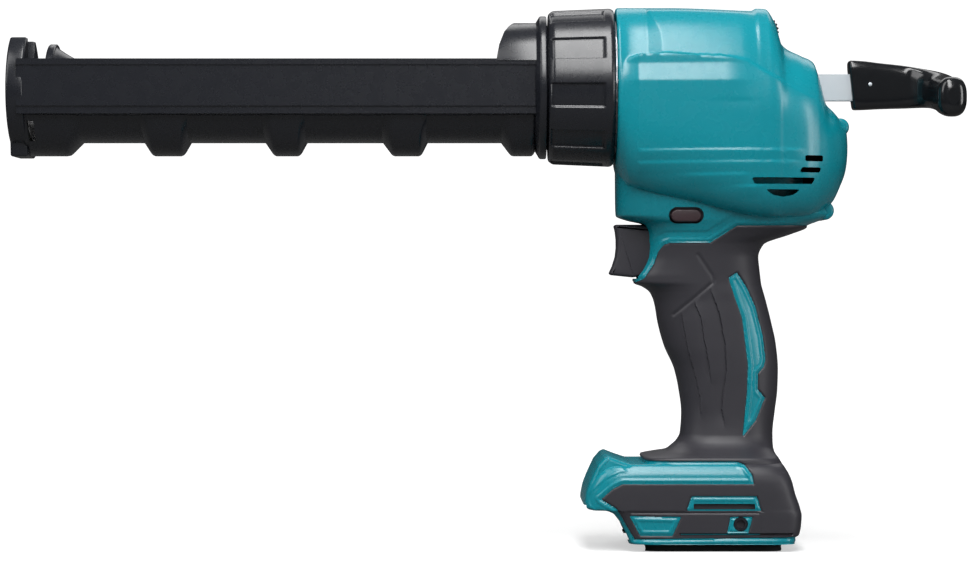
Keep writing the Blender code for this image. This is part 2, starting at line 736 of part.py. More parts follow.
def column(sections, inset=0.0, drop=0.0, count=12):
    """Part of the grip or foot, lofted from top to bottom."""
    rings = []
    for z, front, rear, half, fullness in sections:
        wide = half - inset / MM
        long = (rear - front) / 2 - inset / MM
        ring = oval(wide, -long, long, 0, fullness, fullness, count)
        rings.append([((front + rear) / 2 * MM + x * MM, y * MM, z * MM - drop) for y, x in ring])
    return loft(rings)


def nose(inset=0.0):
    half = 34 * MM - inset
    outline = grown(mm(NOSE_OUTLINE), -inset) if inset else mm(NOSE_OUTLINE)
    return bevelled(plate(outline, -half, half), 2.2 * MM - inset / 2)


def outer_form():
    """The whole outside of the housing as one solid."""
    columns = column(GRIP_SECTIONS), column(FLARE_SECTIONS), column(FOOT_SECTIONS, count=12)
    return join(barrel(), *columns, nose())


def cover_core(depth):
    """What stays under the soft overmould: the grip and the foot, drawn in by this depth."""
    flare = column(FLARE_SECTIONS, depth, depth)
    return join(column(GRIP_SECTIONS, depth), flare, column(FOOT_SECTIONS, depth, count=12))


def hollow():
    """The space inside the housing, with the screw bosses left standing in it."""
    foot = box((-4 * MM, -33.5 * MM, -201 * MM), (82 * MM, 33.5 * MM, -187.6 * MM))
    grip = [section for section in GRIP_SECTIONS if section[0] < -64 or section[0] == -58]
    top = [(-30, 3.5, 95, 24.6, 3.6)]
    lower = [(-170.7, 35.8, 75.4, 15.2, 2.6), (-189, 35.8, 76, 15.4, 2.8)]
    wall = WALL / MM
    shaft_sections = [(-61.5, 3.5, 101, 21.8, 3.6)]
    for z, front, rear, half, full in grip[2:-1:2]:
        shaft_sections.append((z, front + wall, rear - wall, half - wall - 1.4, full))
    space = join(barrel(WALL, (0, 2, 5, 8, 9, 10, 12, 14, 16)), column(top + shaft_sections + lower), foot)
    bosses = []
    for x, z in SCREW_AT:
        bosses.append(rod("Y", BOSS_RADIUS, -60 * MM, 60 * MM, (x * MM, 0, z * MM), 8))
    return cut(space, *bosses)


def openings():
    """Every hole through the housing's walls."""
    tools = [rod("X", SPIGOT_RADIUS + GAP, -5 * MM, 4 * MM, sides=32)]
    tools.append(box((85 * MM, -ROD_THICKNESS / 2 - MM, -8 * MM), (120 * MM, ROD_THICKNESS / 2 + MM, 8 * MM)))
    half = TRIGGER_HALF + 0.5 * MM
    tools.append(box((-5 * MM, -half, -94.4 * MM), (30 * MM, half, -66.8 * MM)))
    length, height = LOCK_LENGTH / 2 + 0.5 * MM, LOCK_HEIGHT / 2 + 0.5 * MM
    tools.append(plate(capsule(LOCK_AT, length, height), -60 * MM, 60 * MM))
    room = DIAL_HALF + 0.7 * MM
    tools.append(rod("Y", DIAL_RADIUS + 0.6 * MM, -room, room, (DIAL_AT[0], 0, DIAL_AT[1]), 18))
    for outline in (
        ((90.8, -34.8), (99.8, -34.8), (99.8, -37.7), (90.8, -37.7)),
        ((89.4, -40.6), (98.9, -40.6), (98.2, -43.1), (87.8, -43.1)),
        ((64.4, -45.6), (96.2, -45.6), (94.2, -48.7), (66.2, -48.7)),
        ((71.2, -51.3), (88.9, -51.3), (85, -54), (80.3, -54.9), (75.2, -54)),
    ):
        for side in (-1, 1):
            tools.append(plate(mm(outline), *sorted((side * 19 * MM, side * 60 * MM))))
    tools.append(box((-30 * MM, -RECESS_HALF, RAIL_TOP), (RECESS_REAR, RECESS_HALF, RECESS_TOP)))
    tools.append(box((-30 * MM, -RAIL_INNER, FOOT_LOW - 5 * MM), (RECESS_REAR, RAIL_INNER, RAIL_TOP + MM)))
    tools.append(box((41 * MM, -22 * MM, -207 * MM), (75 * MM, 22 * MM, -199 * MM)))
    hook = (HOOK_AT[0] * MM, 0, HOOK_AT[1] * MM)
    for side in (-1, 1):
        tools.append(rod("Y", 3.5 * MM, *sorted((side * 34 * MM, side * 45 * MM)), hook, 20))
        slot = mm(((36.7, -203), (66.3, -203), (66.3, -205.6), (36.7, -205.6)))
        tools.append(plate(slot, *sorted((side * 36.4 * MM, side * 45 * MM))))
    return tools


def capsule(centre, length, height):
    """An outline with round ends: half its length and half its height."""
    right = arc((centre[0] + length - height, centre[1]), height, -90, 90, 9)
    left = arc((centre[0] - length + height, centre[1]), height, 90, 270, 9)
    return right + left


def tongue(gap):
    """A key on the left shell that crosses the split under the foot's rear wall."""
    low = (82 * MM - gap, -3 * MM, FOOT_LOW - gap)
    return box(low, (86.2 * MM + gap, 4 * MM + gap, -217 * MM + gap))


def make_housing():
    """Both shells and both covers. Each is cut from its own half of the whole form."""
    outer = outer_form()
    islands = [plate(mm(outline), -60 * MM, 60 * MM) for outline in (INLAY_OUTLINE, *FOOT_ISLANDS)]
    pocket = cut(plate(mm(COVER_OUTLINE), -60 * MM, 60 * MM), *islands, cover_core(COVER + COVER_BED))
    space = hollow()
    tools = openings() + screw_wells()
    windows = [plate(grown(mm(outline), GAP), -60 * MM, 60 * MM) for outline in (INLAY_OUTLINE, *FOOT_ISLANDS)]
    core = cover_core(COVER)
    reach = plate(grown(mm(COVER_OUTLINE), -GAP), -60 * MM, 60 * MM)
    for side, name in ((-1, "left"), (1, "right")):
        low, high = sorted((side * SPLIT, side * 70 * MM))
        half = common(copy_of(outer), box((-60 * MM, low, -240 * MM), (140 * MM, high, 60 * MM)))
        skin = carved(common(copy_of(half), reach), core, *windows, *tools)
        shell = carved(half, pocket, space, *tools)
        shell = join(shell, tongue(0)) if side < 0 else cut(shell, tongue(GAP))
        finish(shell, f"housing_{name}", TEAL, flat=1)
        finish(skin, f"grip_cover_{name}", SOFT_BLACK, flat=1)
    make_screws()


def screw_wells():
    """A deep round well for each screw's head and a hole for its shank."""
    wells = []
    for x, z in SCREW_AT:
        centre = (x * MM, 0, z * MM)
        wells.append(rod("Y", SCREW_HEAD + 0.5 * MM, SEAT_DEPTH, 60 * MM, centre, 8))
        wells.append(rod("Y", SCREW_SHANK + GAP, SEAT_DEPTH - SCREW_LENGTH, SEAT_DEPTH + MM, centre, 6))
    return wells


def make_screws():
    head = SEAT_DEPTH + GAP
    profile = [
        (head + 2.4 * MM, 0),
        (head + 2.4 * MM, SCREW_HEAD - 0.8 * MM),
        (head, SCREW_HEAD),
        (head, SCREW_SHANK - 0.2 * MM),
        (head - SCREW_LENGTH + 2 * MM, SCREW_SHANK - 0.2 * MM),
        (head - SCREW_LENGTH + 0.5 * MM, 0.6 * MM),
        (head - SCREW_LENGTH + 0.5 * MM, 0),
    ]
    mesh = turned("Y", profile, steps=8).data
    for k, (x, z) in enumerate(SCREW_AT, 1):
        finish(add(mesh.copy(), at=(x * MM, 0, z * MM)), f"housing_screw_{k}", DARK_STEEL)


# ---- Gear case and gear train ---------------------------------------------------------------------


def make_gear_case():
    """The alloy frame: a nose for the holder, cheeks for the cross shafts, a plate for the ring gear."""
    profile = [
        (7 * MM, 34.6 * MM),
        (7 * MM, 27 * MM),
        (SPIGOT_FRONT, 27 * MM),
        (SPIGOT_FRONT, SPIGOT_RADIUS),
        (4.3 * MM, SPIGOT_RADIUS),
        (4.3 * MM, 34.6 * MM),
    ]
    nose_tube = turned("X", profile)
    bulkhead = rod("X", 28 * MM, -2 * MM, 2 * MM, sides=32)
    cheek_outline = mm([(4.6, 10), (4.6, -32), (14, -47), (40, -47), (40, 10)])
    cheeks = [plate(cheek_outline, *sorted((side * 17 * MM, side * 20 * MM))) for side in (-1, 1)]
    plate_rear = box((39 * MM, -20 * MM, -57 * MM), (41.1 * MM, 20 * MM, -27 * MM))
    frame = join(nose_tube, bulkhead, *cheeks, plate_rear)
    side, tall = ROD_THICKNESS / 2 + MM, ROD_HEIGHT / 2 + MM
    slot = box((-5 * MM, -side, -tall), (5 * MM, side, tall))
    holes = [rod("X", 5.4 * MM, 35 * MM, 45 * MM, (0, 0, MOTOR_Z))]
    for z in (PINION_Z, MOTOR_Z):
        holes.append(rod("Y", 7 * MM + GAP, -25 * MM, 25 * MM, (SHAFT_X, 0, z)))
    finish(cut(frame, slot, *holes), "gear_case", ALLOY)
    for name, start, end in (("rod_guide_front", -6.3, -2.3), ("rod_guide_rear", 88, 93)):
        side, tall = ROD_THICKNESS / 2 + GAP, ROD_HEIGHT / 2 + GAP
        if start < 0:
            guide = rod("X", 12 * MM, start * MM, end * MM, sides=24)
        else:
            guide = box((start * MM, -8 * MM, -9.5 * MM), (end * MM, 8 * MM, 9.5 * MM))
        hole = box(((start - 1) * MM, -side, -tall), ((end + 1) * MM, side, tall))
        finish(cut(guide, hole), name, BLACK)
    for side, word in ((-1, "left"), (1, "right")):
        for label, z in (("pinion_bush", PINION_Z), ("cross_bush", MOTOR_Z)):
            ends = sorted((side * 17.2 * MM, side * 19.8 * MM))
            bush = rod("Y", 7 * MM, *ends, (SHAFT_X, 0, z))
            bush = cut(bush, rod("Y", SHAFT_RADIUS + 0.1 * MM, -25 * MM, 25 * MM, (SHAFT_X, 0, z)))
            finish(bush, f"{label}_{word}", BRASS)


def spur(axis, teeth, module, start, end, at, first=0.0, share=0.40):
    pitch = teeth * module / 2
    outline = gear_outline(teeth, pitch, pitch + 0.8 * module, pitch - 1.05 * module, first, share)
    return toothed(axis, outline, start, end, at)


def make_cross_shafts():
    at = (SHAFT_X, 0, PINION_Z)
    up, down = math.pi / 2, -math.pi / 2
    pinion = spur("Y", PINION_TEETH, RACK_MODULE, -4 * MM, 4 * MM, at, up)
    shaft = rod("Y", SHAFT_RADIUS, -20 * MM, 22 * MM, at)
    finish(join(pinion, shaft), "rack_pinion", DARK_STEEL, at)
    ring = rod("Y", 8 * MM, 4.4 * MM, 7.4 * MM, at)
    ring = cut(ring, rod("Y", SHAFT_RADIUS + GAP, 0, 10 * MM, at))
    finish(ring, "clutch_ring", STEEL, at)
    large = spur("Y", LARGE_TEETH, SPUR_MODULE, 8 * MM, 12 * MM, at, down + math.pi / LARGE_TEETH)
    large = cut(large, rod("Y", SHAFT_RADIUS + 0.1 * MM, 5 * MM, 15 * MM, at))
    finish(large, "drive_gear", DARK_STEEL, at)
    at = (SHAFT_X, 0, MOTOR_Z)
    small = spur("Y", SMALL_TEETH, SPUR_MODULE, 8 * MM, 12 * MM, at, up)
    wheel = bevel_wheel("Y", BEVEL_LARGE, BEVEL_SMALL, math.pi / BEVEL_LARGE)
    hub = rod("Y", 9 * MM, 5.9 * MM, 7.6 * MM, at)
    shaft = rod("Y", SHAFT_RADIUS, -20 * MM, 20 * MM, at)
    finish(join(wheel, hub, small, shaft), "cross_shaft", DARK_STEEL, at)


def bevel_wheel(axis, teeth, mate, first):
    """One of the bevel pair. Its teeth lie between two cones that meet where the shafts cross."""
    apart = mate * BEVEL_MODULE / 2  # of the large end from where the shafts cross
    cone = math.atan2(teeth, mate)
    slant = BEVEL_MODULE * math.hypot(teeth, mate) / 2
    tip = apart * math.tan(cone + 0.6 * BEVEL_MODULE / slant)
    root = apart * math.tan(cone - 0.85 * BEVEL_MODULE / slant)
    outline = gear_outline(teeth, 0, tip, root, first, 0.38)
    inner = 0.72
    at = (SHAFT_X, 0, MOTOR_Z)
    if axis == "X":
        return toothed("X", outline, SHAFT_X + inner * apart, SHAFT_X + apart, at, inner)
    return toothed("Y", outline, inner * apart, apart, at, inner)


def planet_spots():
    orbit = (SUN_TEETH + PLANET_TEETH) * PLANET_MODULE / 2
    spots = []
    for k in range(3):
        angle = math.pi / 2 + 2 * math.pi * k / 3
        spots.append((angle, orbit * math.cos(angle), MOTOR_Z + orbit * math.sin(angle)))
    return spots


def make_planetary():
    axis_at = (0, 0, MOTOR_Z)
    ring_pitch = RING_TEETH * PLANET_MODULE / 2
    crest, root = ring_pitch - 0.7 * PLANET_MODULE, ring_pitch + 1.05 * PLANET_MODULE
    inside = gear_outline(RING_TEETH, ring_pitch, crest, root, math.pi / 2)
    ring = rod("X", 19 * MM, 41.4 * MM, 51 * MM, axis_at, 24)
    ring = cut(ring, toothed("X", inside, 40 * MM, 52 * MM, axis_at))
    finish(ring, "ring_gear", DARK_STEEL)
    disc = rod("X", 15 * MM, 41.8 * MM, 44.6 * MM, axis_at, 32)
    neck = rod("X", 4.6 * MM, 35.8 * MM, 42 * MM, axis_at)
    bevel = bevel_wheel("X", BEVEL_SMALL, BEVEL_LARGE, 0)
    pins = [rod("X", 2 * MM, 44 * MM, 50.6 * MM, (0, y, z), 16) for _, y, z in planet_spots()]
    finish(join(disc, neck, bevel, *pins), "planet_carrier", STEEL, (SHAFT_X, 0, MOTOR_Z))
    for k, (angle, y, z) in enumerate(planet_spots(), 1):
        # Sun and ring repeat every third of a turn, so each planet meets both with a gap.
        first = angle + math.pi + math.pi / PLANET_TEETH
        planet = spur("X", PLANET_TEETH, PLANET_MODULE, 45 * MM, 50.4 * MM, (0, y, z), first)
        planet = cut(planet, rod("X", 2.15 * MM, 40 * MM, 60 * MM, (0, y, z), 16))
        finish(planet, f"planet_gear_{k}", STEEL, (45 * MM, y, z))


# ---- Motor ----------------------------------------------------------------------------------------


def make_motor():
    at = (0, 0, MOTOR_Z)
    profile = [
        (CAN_REAR, CAN_RADIUS),
        (CAN_REAR, CAN_RADIUS - 1.4 * MM),
        (CAN_FRONT + 1.6 * MM, CAN_RADIUS - 1.4 * MM),
        (CAN_FRONT + 1.6 * MM, 6.8 * MM),
        (CAN_FRONT, 6.8 * MM),
        (CAN_FRONT, CAN_RADIUS),
    ]
    finish(turned("X", profile, at), "motor_can", STEEL)
    cap = rod("X", CAN_RADIUS, CAN_REAR + GAP, CAN_REAR + 3.8 * MM, at, 40)
    finish(cut(cap, rod("X", 6.8 * MM, CAN_REAR - MM, CAN_REAR + 5 * MM, at)), "motor_end_cap", BLACK)
    bearing_front = (CAN_FRONT - 1.2 * MM, CAN_FRONT + 1.8 * MM)
    bearing_rear = (CAN_REAR + 0.6 * MM, CAN_REAR + 3.6 * MM)
    for name, ends in (("rotor_bearing_front", bearing_front), ("rotor_bearing_rear", bearing_rear)):
        bearing = rod("X", 6.4 * MM, *ends, at)
        finish(cut(bearing, rod("X", 2.6 * MM, 50 * MM, 110 * MM, at)), name, STEEL)
    for word, turn in (("upper", 90), ("lower", 270)):
        outer = arc((0, MOTOR_Z), CAN_RADIUS - 1.8 * MM, turn - 58, turn + 58, 13)
        inner = arc((0, MOTOR_Z), 12.6 * MM, turn + 58, turn - 58, 13)
        magnet = plate(outer + inner, CAN_FRONT + 4 * MM, CAN_REAR - 7 * MM, "YZ")
        finish(magnet, f"motor_magnet_{word}", DARK_STEEL)
    shaft = rod("X", 2.5 * MM, 50 * MM, CAN_REAR + 4.6 * MM, at)
    sun = spur("X", SUN_TEETH, PLANET_MODULE, 45.4 * MM, 51 * MM, at, math.pi / 2)
    core = toothed("X", gear_outline(7, 0, 12 * MM, 5.4 * MM, 0, 0.72), 64 * MM, 84 * MM, at)
    finish(join(shaft, sun, core), "armature", COPPER, (50 * MM, 0, MOTOR_Z))
    commutator = rod("X", 6 * MM, 85.6 * MM, 91.6 * MM, at)
    commutator = cut(commutator, rod("X", 2.5 * MM + GAP, 80 * MM, 95 * MM, at))
    finish(commutator, "commutator", COPPER, (50 * MM, 0, MOTOR_Z))
    hub = rod("X", 5 * MM, 52.2 * MM, 56.4 * MM, at)
    blades = []
    for k in range(9):
        blade = box((52.6 * MM, -0.6 * MM, 4 * MM), (56.2 * MM, 0.6 * MM, 16.6 * MM))
        blade.data.transform(Matrix.Translation(at) @ Matrix.Rotation(2 * math.pi * k / 9, 4, "X"))
        blades.append(blade)
    web = rod("X", 17 * MM, 52.2 * MM, 53.2 * MM, at, 32)
    fan = cut(join(hub, web, *blades), rod("X", 2.5 * MM + GAP, 50 * MM, 60 * MM, at))
    finish(fan, "fan", BLACK, (50 * MM, 0, MOTOR_Z))


# ---- Controls and electrics -----------------------------------------------------------------------


def make_controls():
    outline = mm([(-0.3, -67.8), (0.6, -73.4), (1.0, -78.1), (0.6, -83.7), (-1.0, -88.4)])
    outline += mm([(-2.6, -91.9), (-1.6, -92.7)])
    outline += mm([(5.1, -93.4), (9, -93.8), (22, -92), (22, -70), (13, -67.8)])
    trigger = bevelled(plate(outline, -TRIGGER_HALF, TRIGGER_HALF), 1.4 * MM, 1, 50)
    socket = rod("X", 3 * MM + GAP, 14 * MM, 24 * MM, (0, 0, -80 * MM), 20)
    finish(cut(trigger, socket), "trigger", SOFT_BLACK)
    finish(rod("X", 3 * MM, 14.4 * MM, 36 * MM, (0, 0, -80 * MM), 20), "switch_plunger", BLACK)
    body = bevelled(box((30 * MM, -10.5 * MM, -92 * MM), (62 * MM, 10.5 * MM, -69.4 * MM)), MM, 1)
    bore = rod("X", 3 * MM + GAP, 28 * MM, 37 * MM + TRIGGER_TRAVEL, (0, 0, -80 * MM), 20)
    finish(cut(body, bore), "switch_body", BLACK)
    button = plate(capsule(LOCK_AT, LOCK_LENGTH / 2, LOCK_HEIGHT / 2), -23.4 * MM, 26.4 * MM)
    finish(bevelled(button, 0.6 * MM, 1), "lock_button", BLACK)
    ridges = gear_outline(16, 0, DIAL_RADIUS, DIAL_RADIUS - 0.7 * MM, 0, 0.5)
    dial = toothed("Y", ridges, -DIAL_HALF, DIAL_HALF, (DIAL_AT[0], 0, DIAL_AT[1]))
    finish(dial, "speed_dial", BLACK, (DIAL_AT[0], 0, DIAL_AT[1]))


def smooth_route(points, count):
    """Points along a smooth curve through the route's own points, read evenly between them."""
    route = [Vector(point) for point in points]
    route = [2 * route[0] - route[1]] + route + [2 * route[-1] - route[-2]]
    spans = len(points) - 1
    read = []
    for k in range(count):
        place = spans * k / (count - 1)
        span = min(int(place), spans - 1)
        part = place - span
        a, b, c, d = route[span : span + 4]
        bend = 2 * a - 5 * b + 4 * c - d
        twist = 3 * b - a - 3 * c + d
        read.append(tuple((b * 2 + (c - a) * part + bend * part**2 + twist * part**3) / 2))
    return read


def make_electrics():
    board = box((14 * MM, -24 * MM, -191.8 * MM), (70 * MM, 24 * MM, -190.2 * MM))
    parts = [
        box((20 * MM, -16 * MM, -190.6 * MM), (34 * MM, -4 * MM, -188.4 * MM)),
        box((38 * MM, 8 * MM, -190.6 * MM), (48 * MM, 18 * MM, -188.2 * MM)),
    ]
    finish(join(board, *parts), "control_board", BOARD_GREEN)
    block = box((42 * MM, -21 * MM, -206.6 * MM), (74 * MM, 21 * MM, -193 * MM))
    finish(bevelled(block, 0.8 * MM, 1), "terminal_block", BLACK)
    for side, word in ((-1, "left"), (1, "right")):
        near, far = (side * 14 - 0.5) * MM, (side * 14 + 0.5) * MM
        blade = box((46 * MM, near, -216 * MM), (70 * MM, far, -206.9 * MM))
        finish(bevelled(blade, 0.3 * MM, 1), f"terminal_blade_{word}", BRASS)
        ends = sorted((side * 34.3 * MM, side * 37.9 * MM))
        at = (HOOK_AT[0] * MM, 0, HOOK_AT[1] * MM)
        insert = rod("Y", 3.2 * MM, *ends, at, 20)
        hole = rod("Y", 2.1 * MM, *sorted((side * 35 * MM, side * 45 * MM)), at, 16)
        finish(cut(insert, hole), f"hook_insert_{word}", BRASS)
        y, colour = side * 5, RED if side < 0 else BLACK
        rear, low = CAN_REAR / MM, (MOTOR_Z - CAN_RADIUS) / MM
        route = mm([(rear + 2, y, low - 0.6), (rear, y, low - 2.6), (rear - 7, y, low - 4.4)])
        route += mm([(75, y, -68), (68.6, y, -76), (62.6, y, -80)])
        finish(tube(smooth_route(route, 12), 1.1 * MM, 1), f"motor_lead_{word}", colour)
        route = mm([(60, y, -188), (61, y, -178), (62.6, y, -150)])
        route += mm([(61.4, y, -120), (55, y, -101), (50, y, -92.6)])
        finish(tube(smooth_route(route, 12), 1.2 * MM, 1), f"battery_lead_{word}", colour)


make_push_rod()
make_holder()
make_collar()
make_housing()
make_gear_case()
make_cross_shafts()
make_planetary()
make_motor()
make_controls()
make_electrics()
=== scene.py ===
"""Cordless caulking gun: the moulded skins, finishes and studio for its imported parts.

Lengths in the tables are millimetres from the push rod's axis at the housing's front face: x runs
back along the rod, y across the gun and z up. place() turns them into the frame's metres.
"""

import math

import bpy
import numpy as np
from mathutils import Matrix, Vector


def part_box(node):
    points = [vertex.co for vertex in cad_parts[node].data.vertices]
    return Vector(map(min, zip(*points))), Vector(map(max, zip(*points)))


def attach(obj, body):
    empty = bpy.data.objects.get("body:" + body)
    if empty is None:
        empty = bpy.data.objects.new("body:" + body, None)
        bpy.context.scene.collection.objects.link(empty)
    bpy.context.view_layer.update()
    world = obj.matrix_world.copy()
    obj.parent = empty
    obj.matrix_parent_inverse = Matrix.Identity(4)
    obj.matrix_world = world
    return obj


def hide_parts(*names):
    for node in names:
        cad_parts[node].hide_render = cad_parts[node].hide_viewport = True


bl_info = {
    "name": "Caulking Gun Surfaces",
    "version": (1, 0, 0),
    "blender": (4, 5, 0),
    "location": "3D View > Sidebar > Caulking Gun",
    "description": "Builds the skins, finishes and studio of a cordless caulking gun round its packed parts",
    "category": "Object",
}

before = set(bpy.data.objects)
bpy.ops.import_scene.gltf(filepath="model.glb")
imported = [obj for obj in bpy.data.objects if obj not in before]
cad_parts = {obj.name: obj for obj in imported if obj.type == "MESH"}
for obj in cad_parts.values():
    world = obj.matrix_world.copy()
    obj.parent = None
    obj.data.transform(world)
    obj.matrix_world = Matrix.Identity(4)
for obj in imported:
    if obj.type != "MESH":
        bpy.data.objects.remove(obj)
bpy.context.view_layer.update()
MM = 0.001
ROD_REACH = 268 * MM  # length of the rod in front of the datum
ROD_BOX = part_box("rack_rod")
DATUM = np.array([ROD_BOX[0].x + ROD_REACH, 0.0, (ROD_BOX[0].z + ROD_BOX[1].z) / 2])

# ---- Tables of the real shape ---------------------------------------------------------------------

BARREL = (  # x, top, bottom, half width, height of the widest line, fullness above and below
    (0.3, 39.4, -42, 38.4, 0, 2.0, 2.6),
    (6, 39.4, -51, 38.6, -6, 2.0, 3.0),
    (14, 39.4, -54.2, 38.6, -8, 2.03, 3.2),
    (26, 39.4, -57.0, 38.6, -10, 2.05, 3.4),
    (40, 39.1, -60.0, 38.6, -12, 2.08, 3.5),
    (54, 38.5, -63.4, 38.6, -14, 2.1, 3.8),
    (67.5, 38.0, -65.8, 38.4, -16, 2.1, 4.0),
    (70, 39.1, -66.0, 38.2, -16, 2.1, 4.0),
    (74.2, 38.9, -66.4, 38, -17, 2.1, 4.0),
    (78.2, 33.4, -66.6, 37.5, -19, 2.15, 3.9),
    (79.4, 29.9, -66.6, 37.2, -20, 2.2, 3.8),
    (81.9, 21.6, -66.5, 36.8, -22, 2.3, 3.7),
    (91.6, 15.6, -66.0, 35, -25, 2.4, 3.5),
    (97.5, 12.6, -64.6, 32.6, -27, 2.4, 3.2),
    (99.6, 6.9, -63.6, 31.4, -28, 2.4, 3.0),
    (103.5, -7.7, -60.5, 28.8, -30, 2.4, 2.7),
    (107.3, -11.5, -57.0, 25, -32, 2.4, 2.5),
    (111.1, -15.6, -49.5, 19.5, -33, 2.3, 2.3),
    (113.6, -18.0, -43, 13.5, -32, 2.2, 2.2),
    (114.8, -21.5, -37, 7.5, -30, 2.0, 2.0),
)
GRIP = (  # z, front, rear, half width, fullness
    (-44, 0.5, 98, 27.5, 3.6),
    (-58, 0.6, 103, 25.5, 3.6),
    (-63.4, 0.9, 105.8, 24.4, 3.5),
    (-65.6, 6, 103, 23.8, 3.4),
    (-67.4, 13.4, 97, 23, 3.3),
    (-69.6, 15.0, 94.4, 22, 3.1),
    (-72.5, 15.7, 86.9, 20.8, 2.9),
    (-77.5, 15.4, 73.7, 19.6, 2.7),
    (-83.7, 14.6, 71.1, 19, 2.6),
    (-89.3, 12.0, 71.6, 18.7, 2.6),
    (-93.6, 9.2, 72.1, 18.5, 2.6),
    (-96.2, 9.0, 72.4, 18.4, 2.6),
    (-98.2, 13.8, 72.8, 18.3, 2.5),
    (-101, 17.6, 73.6, 18.2, 2.5),
    (-106, 19.8, 75, 18, 2.5),
    (-116, 21.6, 77.5, 18, 2.5),
    (-127, 24.6, 79.8, 18, 2.5),
    (-139, 29.8, 80.8, 17.8, 2.5),
    (-149, 32.0, 80.5, 17.6, 2.5),
    (-160, 33.3, 79.2, 17.6, 2.5),
    (-170.7, 32.6, 78.1, 18.3, 2.6),
    (-174, 31, 78.1, 19.4, 2.7),
    (-177, 28, 78.2, 22.2, 2.9),
    (-179.2, 25.0, 78.5, 26.4, 3.4),
    (-180.6, 18.0, 79, 30.4, 4.2),
    (-181.9, 13.4, 79.8, 33.2, 5.0),
    (-186, 13.4, 82.2, 33.6, 5.4),
)
FOOT = (  # z, front, rear, half width, fullness
    (-184.3, -8.6, 80.9, 33.5, 7),
    (-185.6, -9.5, 81.8, 35.6, 8),
    (-187.2, -10.4, 82.8, 36.9, 8),
    (-189.5, -11.8, 84.0, 37.7, 9),
    (-193.3, -13.5, 85.4, 38.2, 10),
    (-198.4, -15.2, 86.6, 38.3, 11),
    (-204.7, -16.1, 88.8, 38.3, 11),
    (-206.3, -14.4, 89.2, 38.3, 11),
    (-207.0, -6.8, 89.4, 38.3, 11),
    (-209.3, -2.0, 89.8, 38.3, 11),
    (-212.8, 0.7, 89.6, 38.3, 11),
    (-218.2, 3.6, 88.6, 38.3, 11),
    (-220.2, 4.4, 87, 38.3, 11),
    (-222.7, 5.4, 86.8, 38.3, 11),
    (-223.3, 6.2, 86.2, 37.8, 11),
    (-223.4, 12, 81, 32.4, 11),
    (-226.5, 12.6, 80.4, 31.8, 11),
)
# The outlines from here on are (x, z) points.
NOSE = (
    (-15.6, -204.4), (-14.8, -198.4), (-13.1, -193.3), (-11.4, -189.5), (-10.2, -187), (-9.3, -185),
    (-6.2, -181.4), (-4.2, -180.4), (0.7, -182.3), (6.4, -184.2), (10, -184.9), (10, -204.4),
)
COVER = (  # the edge of the soft cover
    (7.9, -96.9), (13.9, -94.1), (18.7, -86.6), (20.6, -81), (23.4, -77.7), (26.2, -76.8), (45.8, -76.8),
    (58.9, -68.6), (110, -68.6), (110, -219.6), (84.6, -219.6), (7.9, -220.5), (3.2, -212.5), (-0.7, -205.5),
    (-8.3, -200.9), (-2.1, -195.5), (2.5, -193.3), (65.5, -193.3), (64.8, -189.3), (61.7, -184.7),
    (57.8, -183.2), (8, -183.2), (0, -170),
)
INLAY = (  # the window in the grip's cover
    (55.5, -94.1), (59.4, -91.6), (64, -98.3), (68.6, -108.1), (72.3, -122.6), (73.6, -134), (72.6, -137.6),
    (69.6, -140.9), (69.6, -148.8), (73.2, -152.9), (68.6, -163.8), (62.4, -171), (64.6, -149.4),
    (65, -136.3), (62.1, -113.4), (58.8, -104.2),
)
FOOT_ISLANDS = (  # the windows in the foot's cover: the slot's frame, the badge and the hook's frame
    ((33.6, -206.2), (35.9, -199.7), (67, -199.7), (69, -206.2)),
    ((6.3, -209.3), (30.2, -209.7), (26.3, -218.2), (11, -218.2)),
    ((54.7, -209.7), (64.8, -209.7), (62.8, -217), (53.2, -217)),
)
FOOT_SLOT = ((36.7, -203), (66.3, -203), (66.3, -205.6), (36.7, -205.6))
VENTS = (
    ((90.8, -34.8), (99.8, -34.8), (99.8, -37.7), (90.8, -37.7)),
    ((89.4, -40.6), (98.9, -40.6), (98.2, -43.1), (87.8, -43.1)),
    ((64.4, -45.6), (96.2, -45.6), (94.2, -48.7), (66.2, -48.7)),
    ((71.2, -51.3), (88.9, -51.3), (85, -54), (80.3, -54.9), (75.2, -54)),
)
LEDGE = (  # the line under which the side stands out
    (0, 3), (3, 9.3), (6, 12.2), (11.6, 13.6), (23.6, 13.8), (50.7, 12.6), (62, 11), (78, 2), (94, -6.2),
    (106, -10),
)
DOME_STEP = ((13.9, 22.0), (19.5, 22.0), (25.1, 21.2), (31.6, 18.4), (35.6, 16.0))  # z, where its slope ends
RIBS = ((-31.9, 10.2, 90), (-37.6, 10.2, 88), (-43.4, 26, 64), (-49.1, 51, 71))  # z, start, end
CREASE = ((40.2, -82.8), (47.1, -92.9), (47.6, -95), (47.1, -96.6), (37.1, -105.1), (28.6, -112.0))
FLUTES = (
    ((32.3, -112.0), (35.5, -128.9), (39.7, -143.8), (41.6, -153.3), (42.0, -162.8)),
    ((38.6, -106.1), (41.8, -114.1), (43.4, -124.7), (45.5, -135.3), (47, -146)),
    (
        (46.6, -100.3), (50.8, -112.0), (53.5, -126.8), (54.2, -139.5), (52.4, -151.2), (51.9, -158.6),
        (53.5, -167.1),
    ),
)
SCREWS = ((13.5, 27), (56, 25), (103, -53), (9.5, -55), (45, -118), (47, -158), (3, -193), (80, -196))
WELL_RADIUS = 3.9
FOOT_RINGS = 14  # closing each end of the foot
PLINTH_TOP = 3.1 * MM  # above the floor
HOOK = (59.4, -212.8)
LOCK = (34.1, -63.6)
DIAL = (73.3, 27.8)
WINDOW = ((-287.2, -17.4), (-284.0, -17.4), (-283.4, -27.2), (-287.0, -27.2))  # slit through the holder's end
REAR_BOSSES = (((110.9, -19.9), 4.4, 10), ((102.9, -61.0), 4.6, 13))  # centre, radius, half length
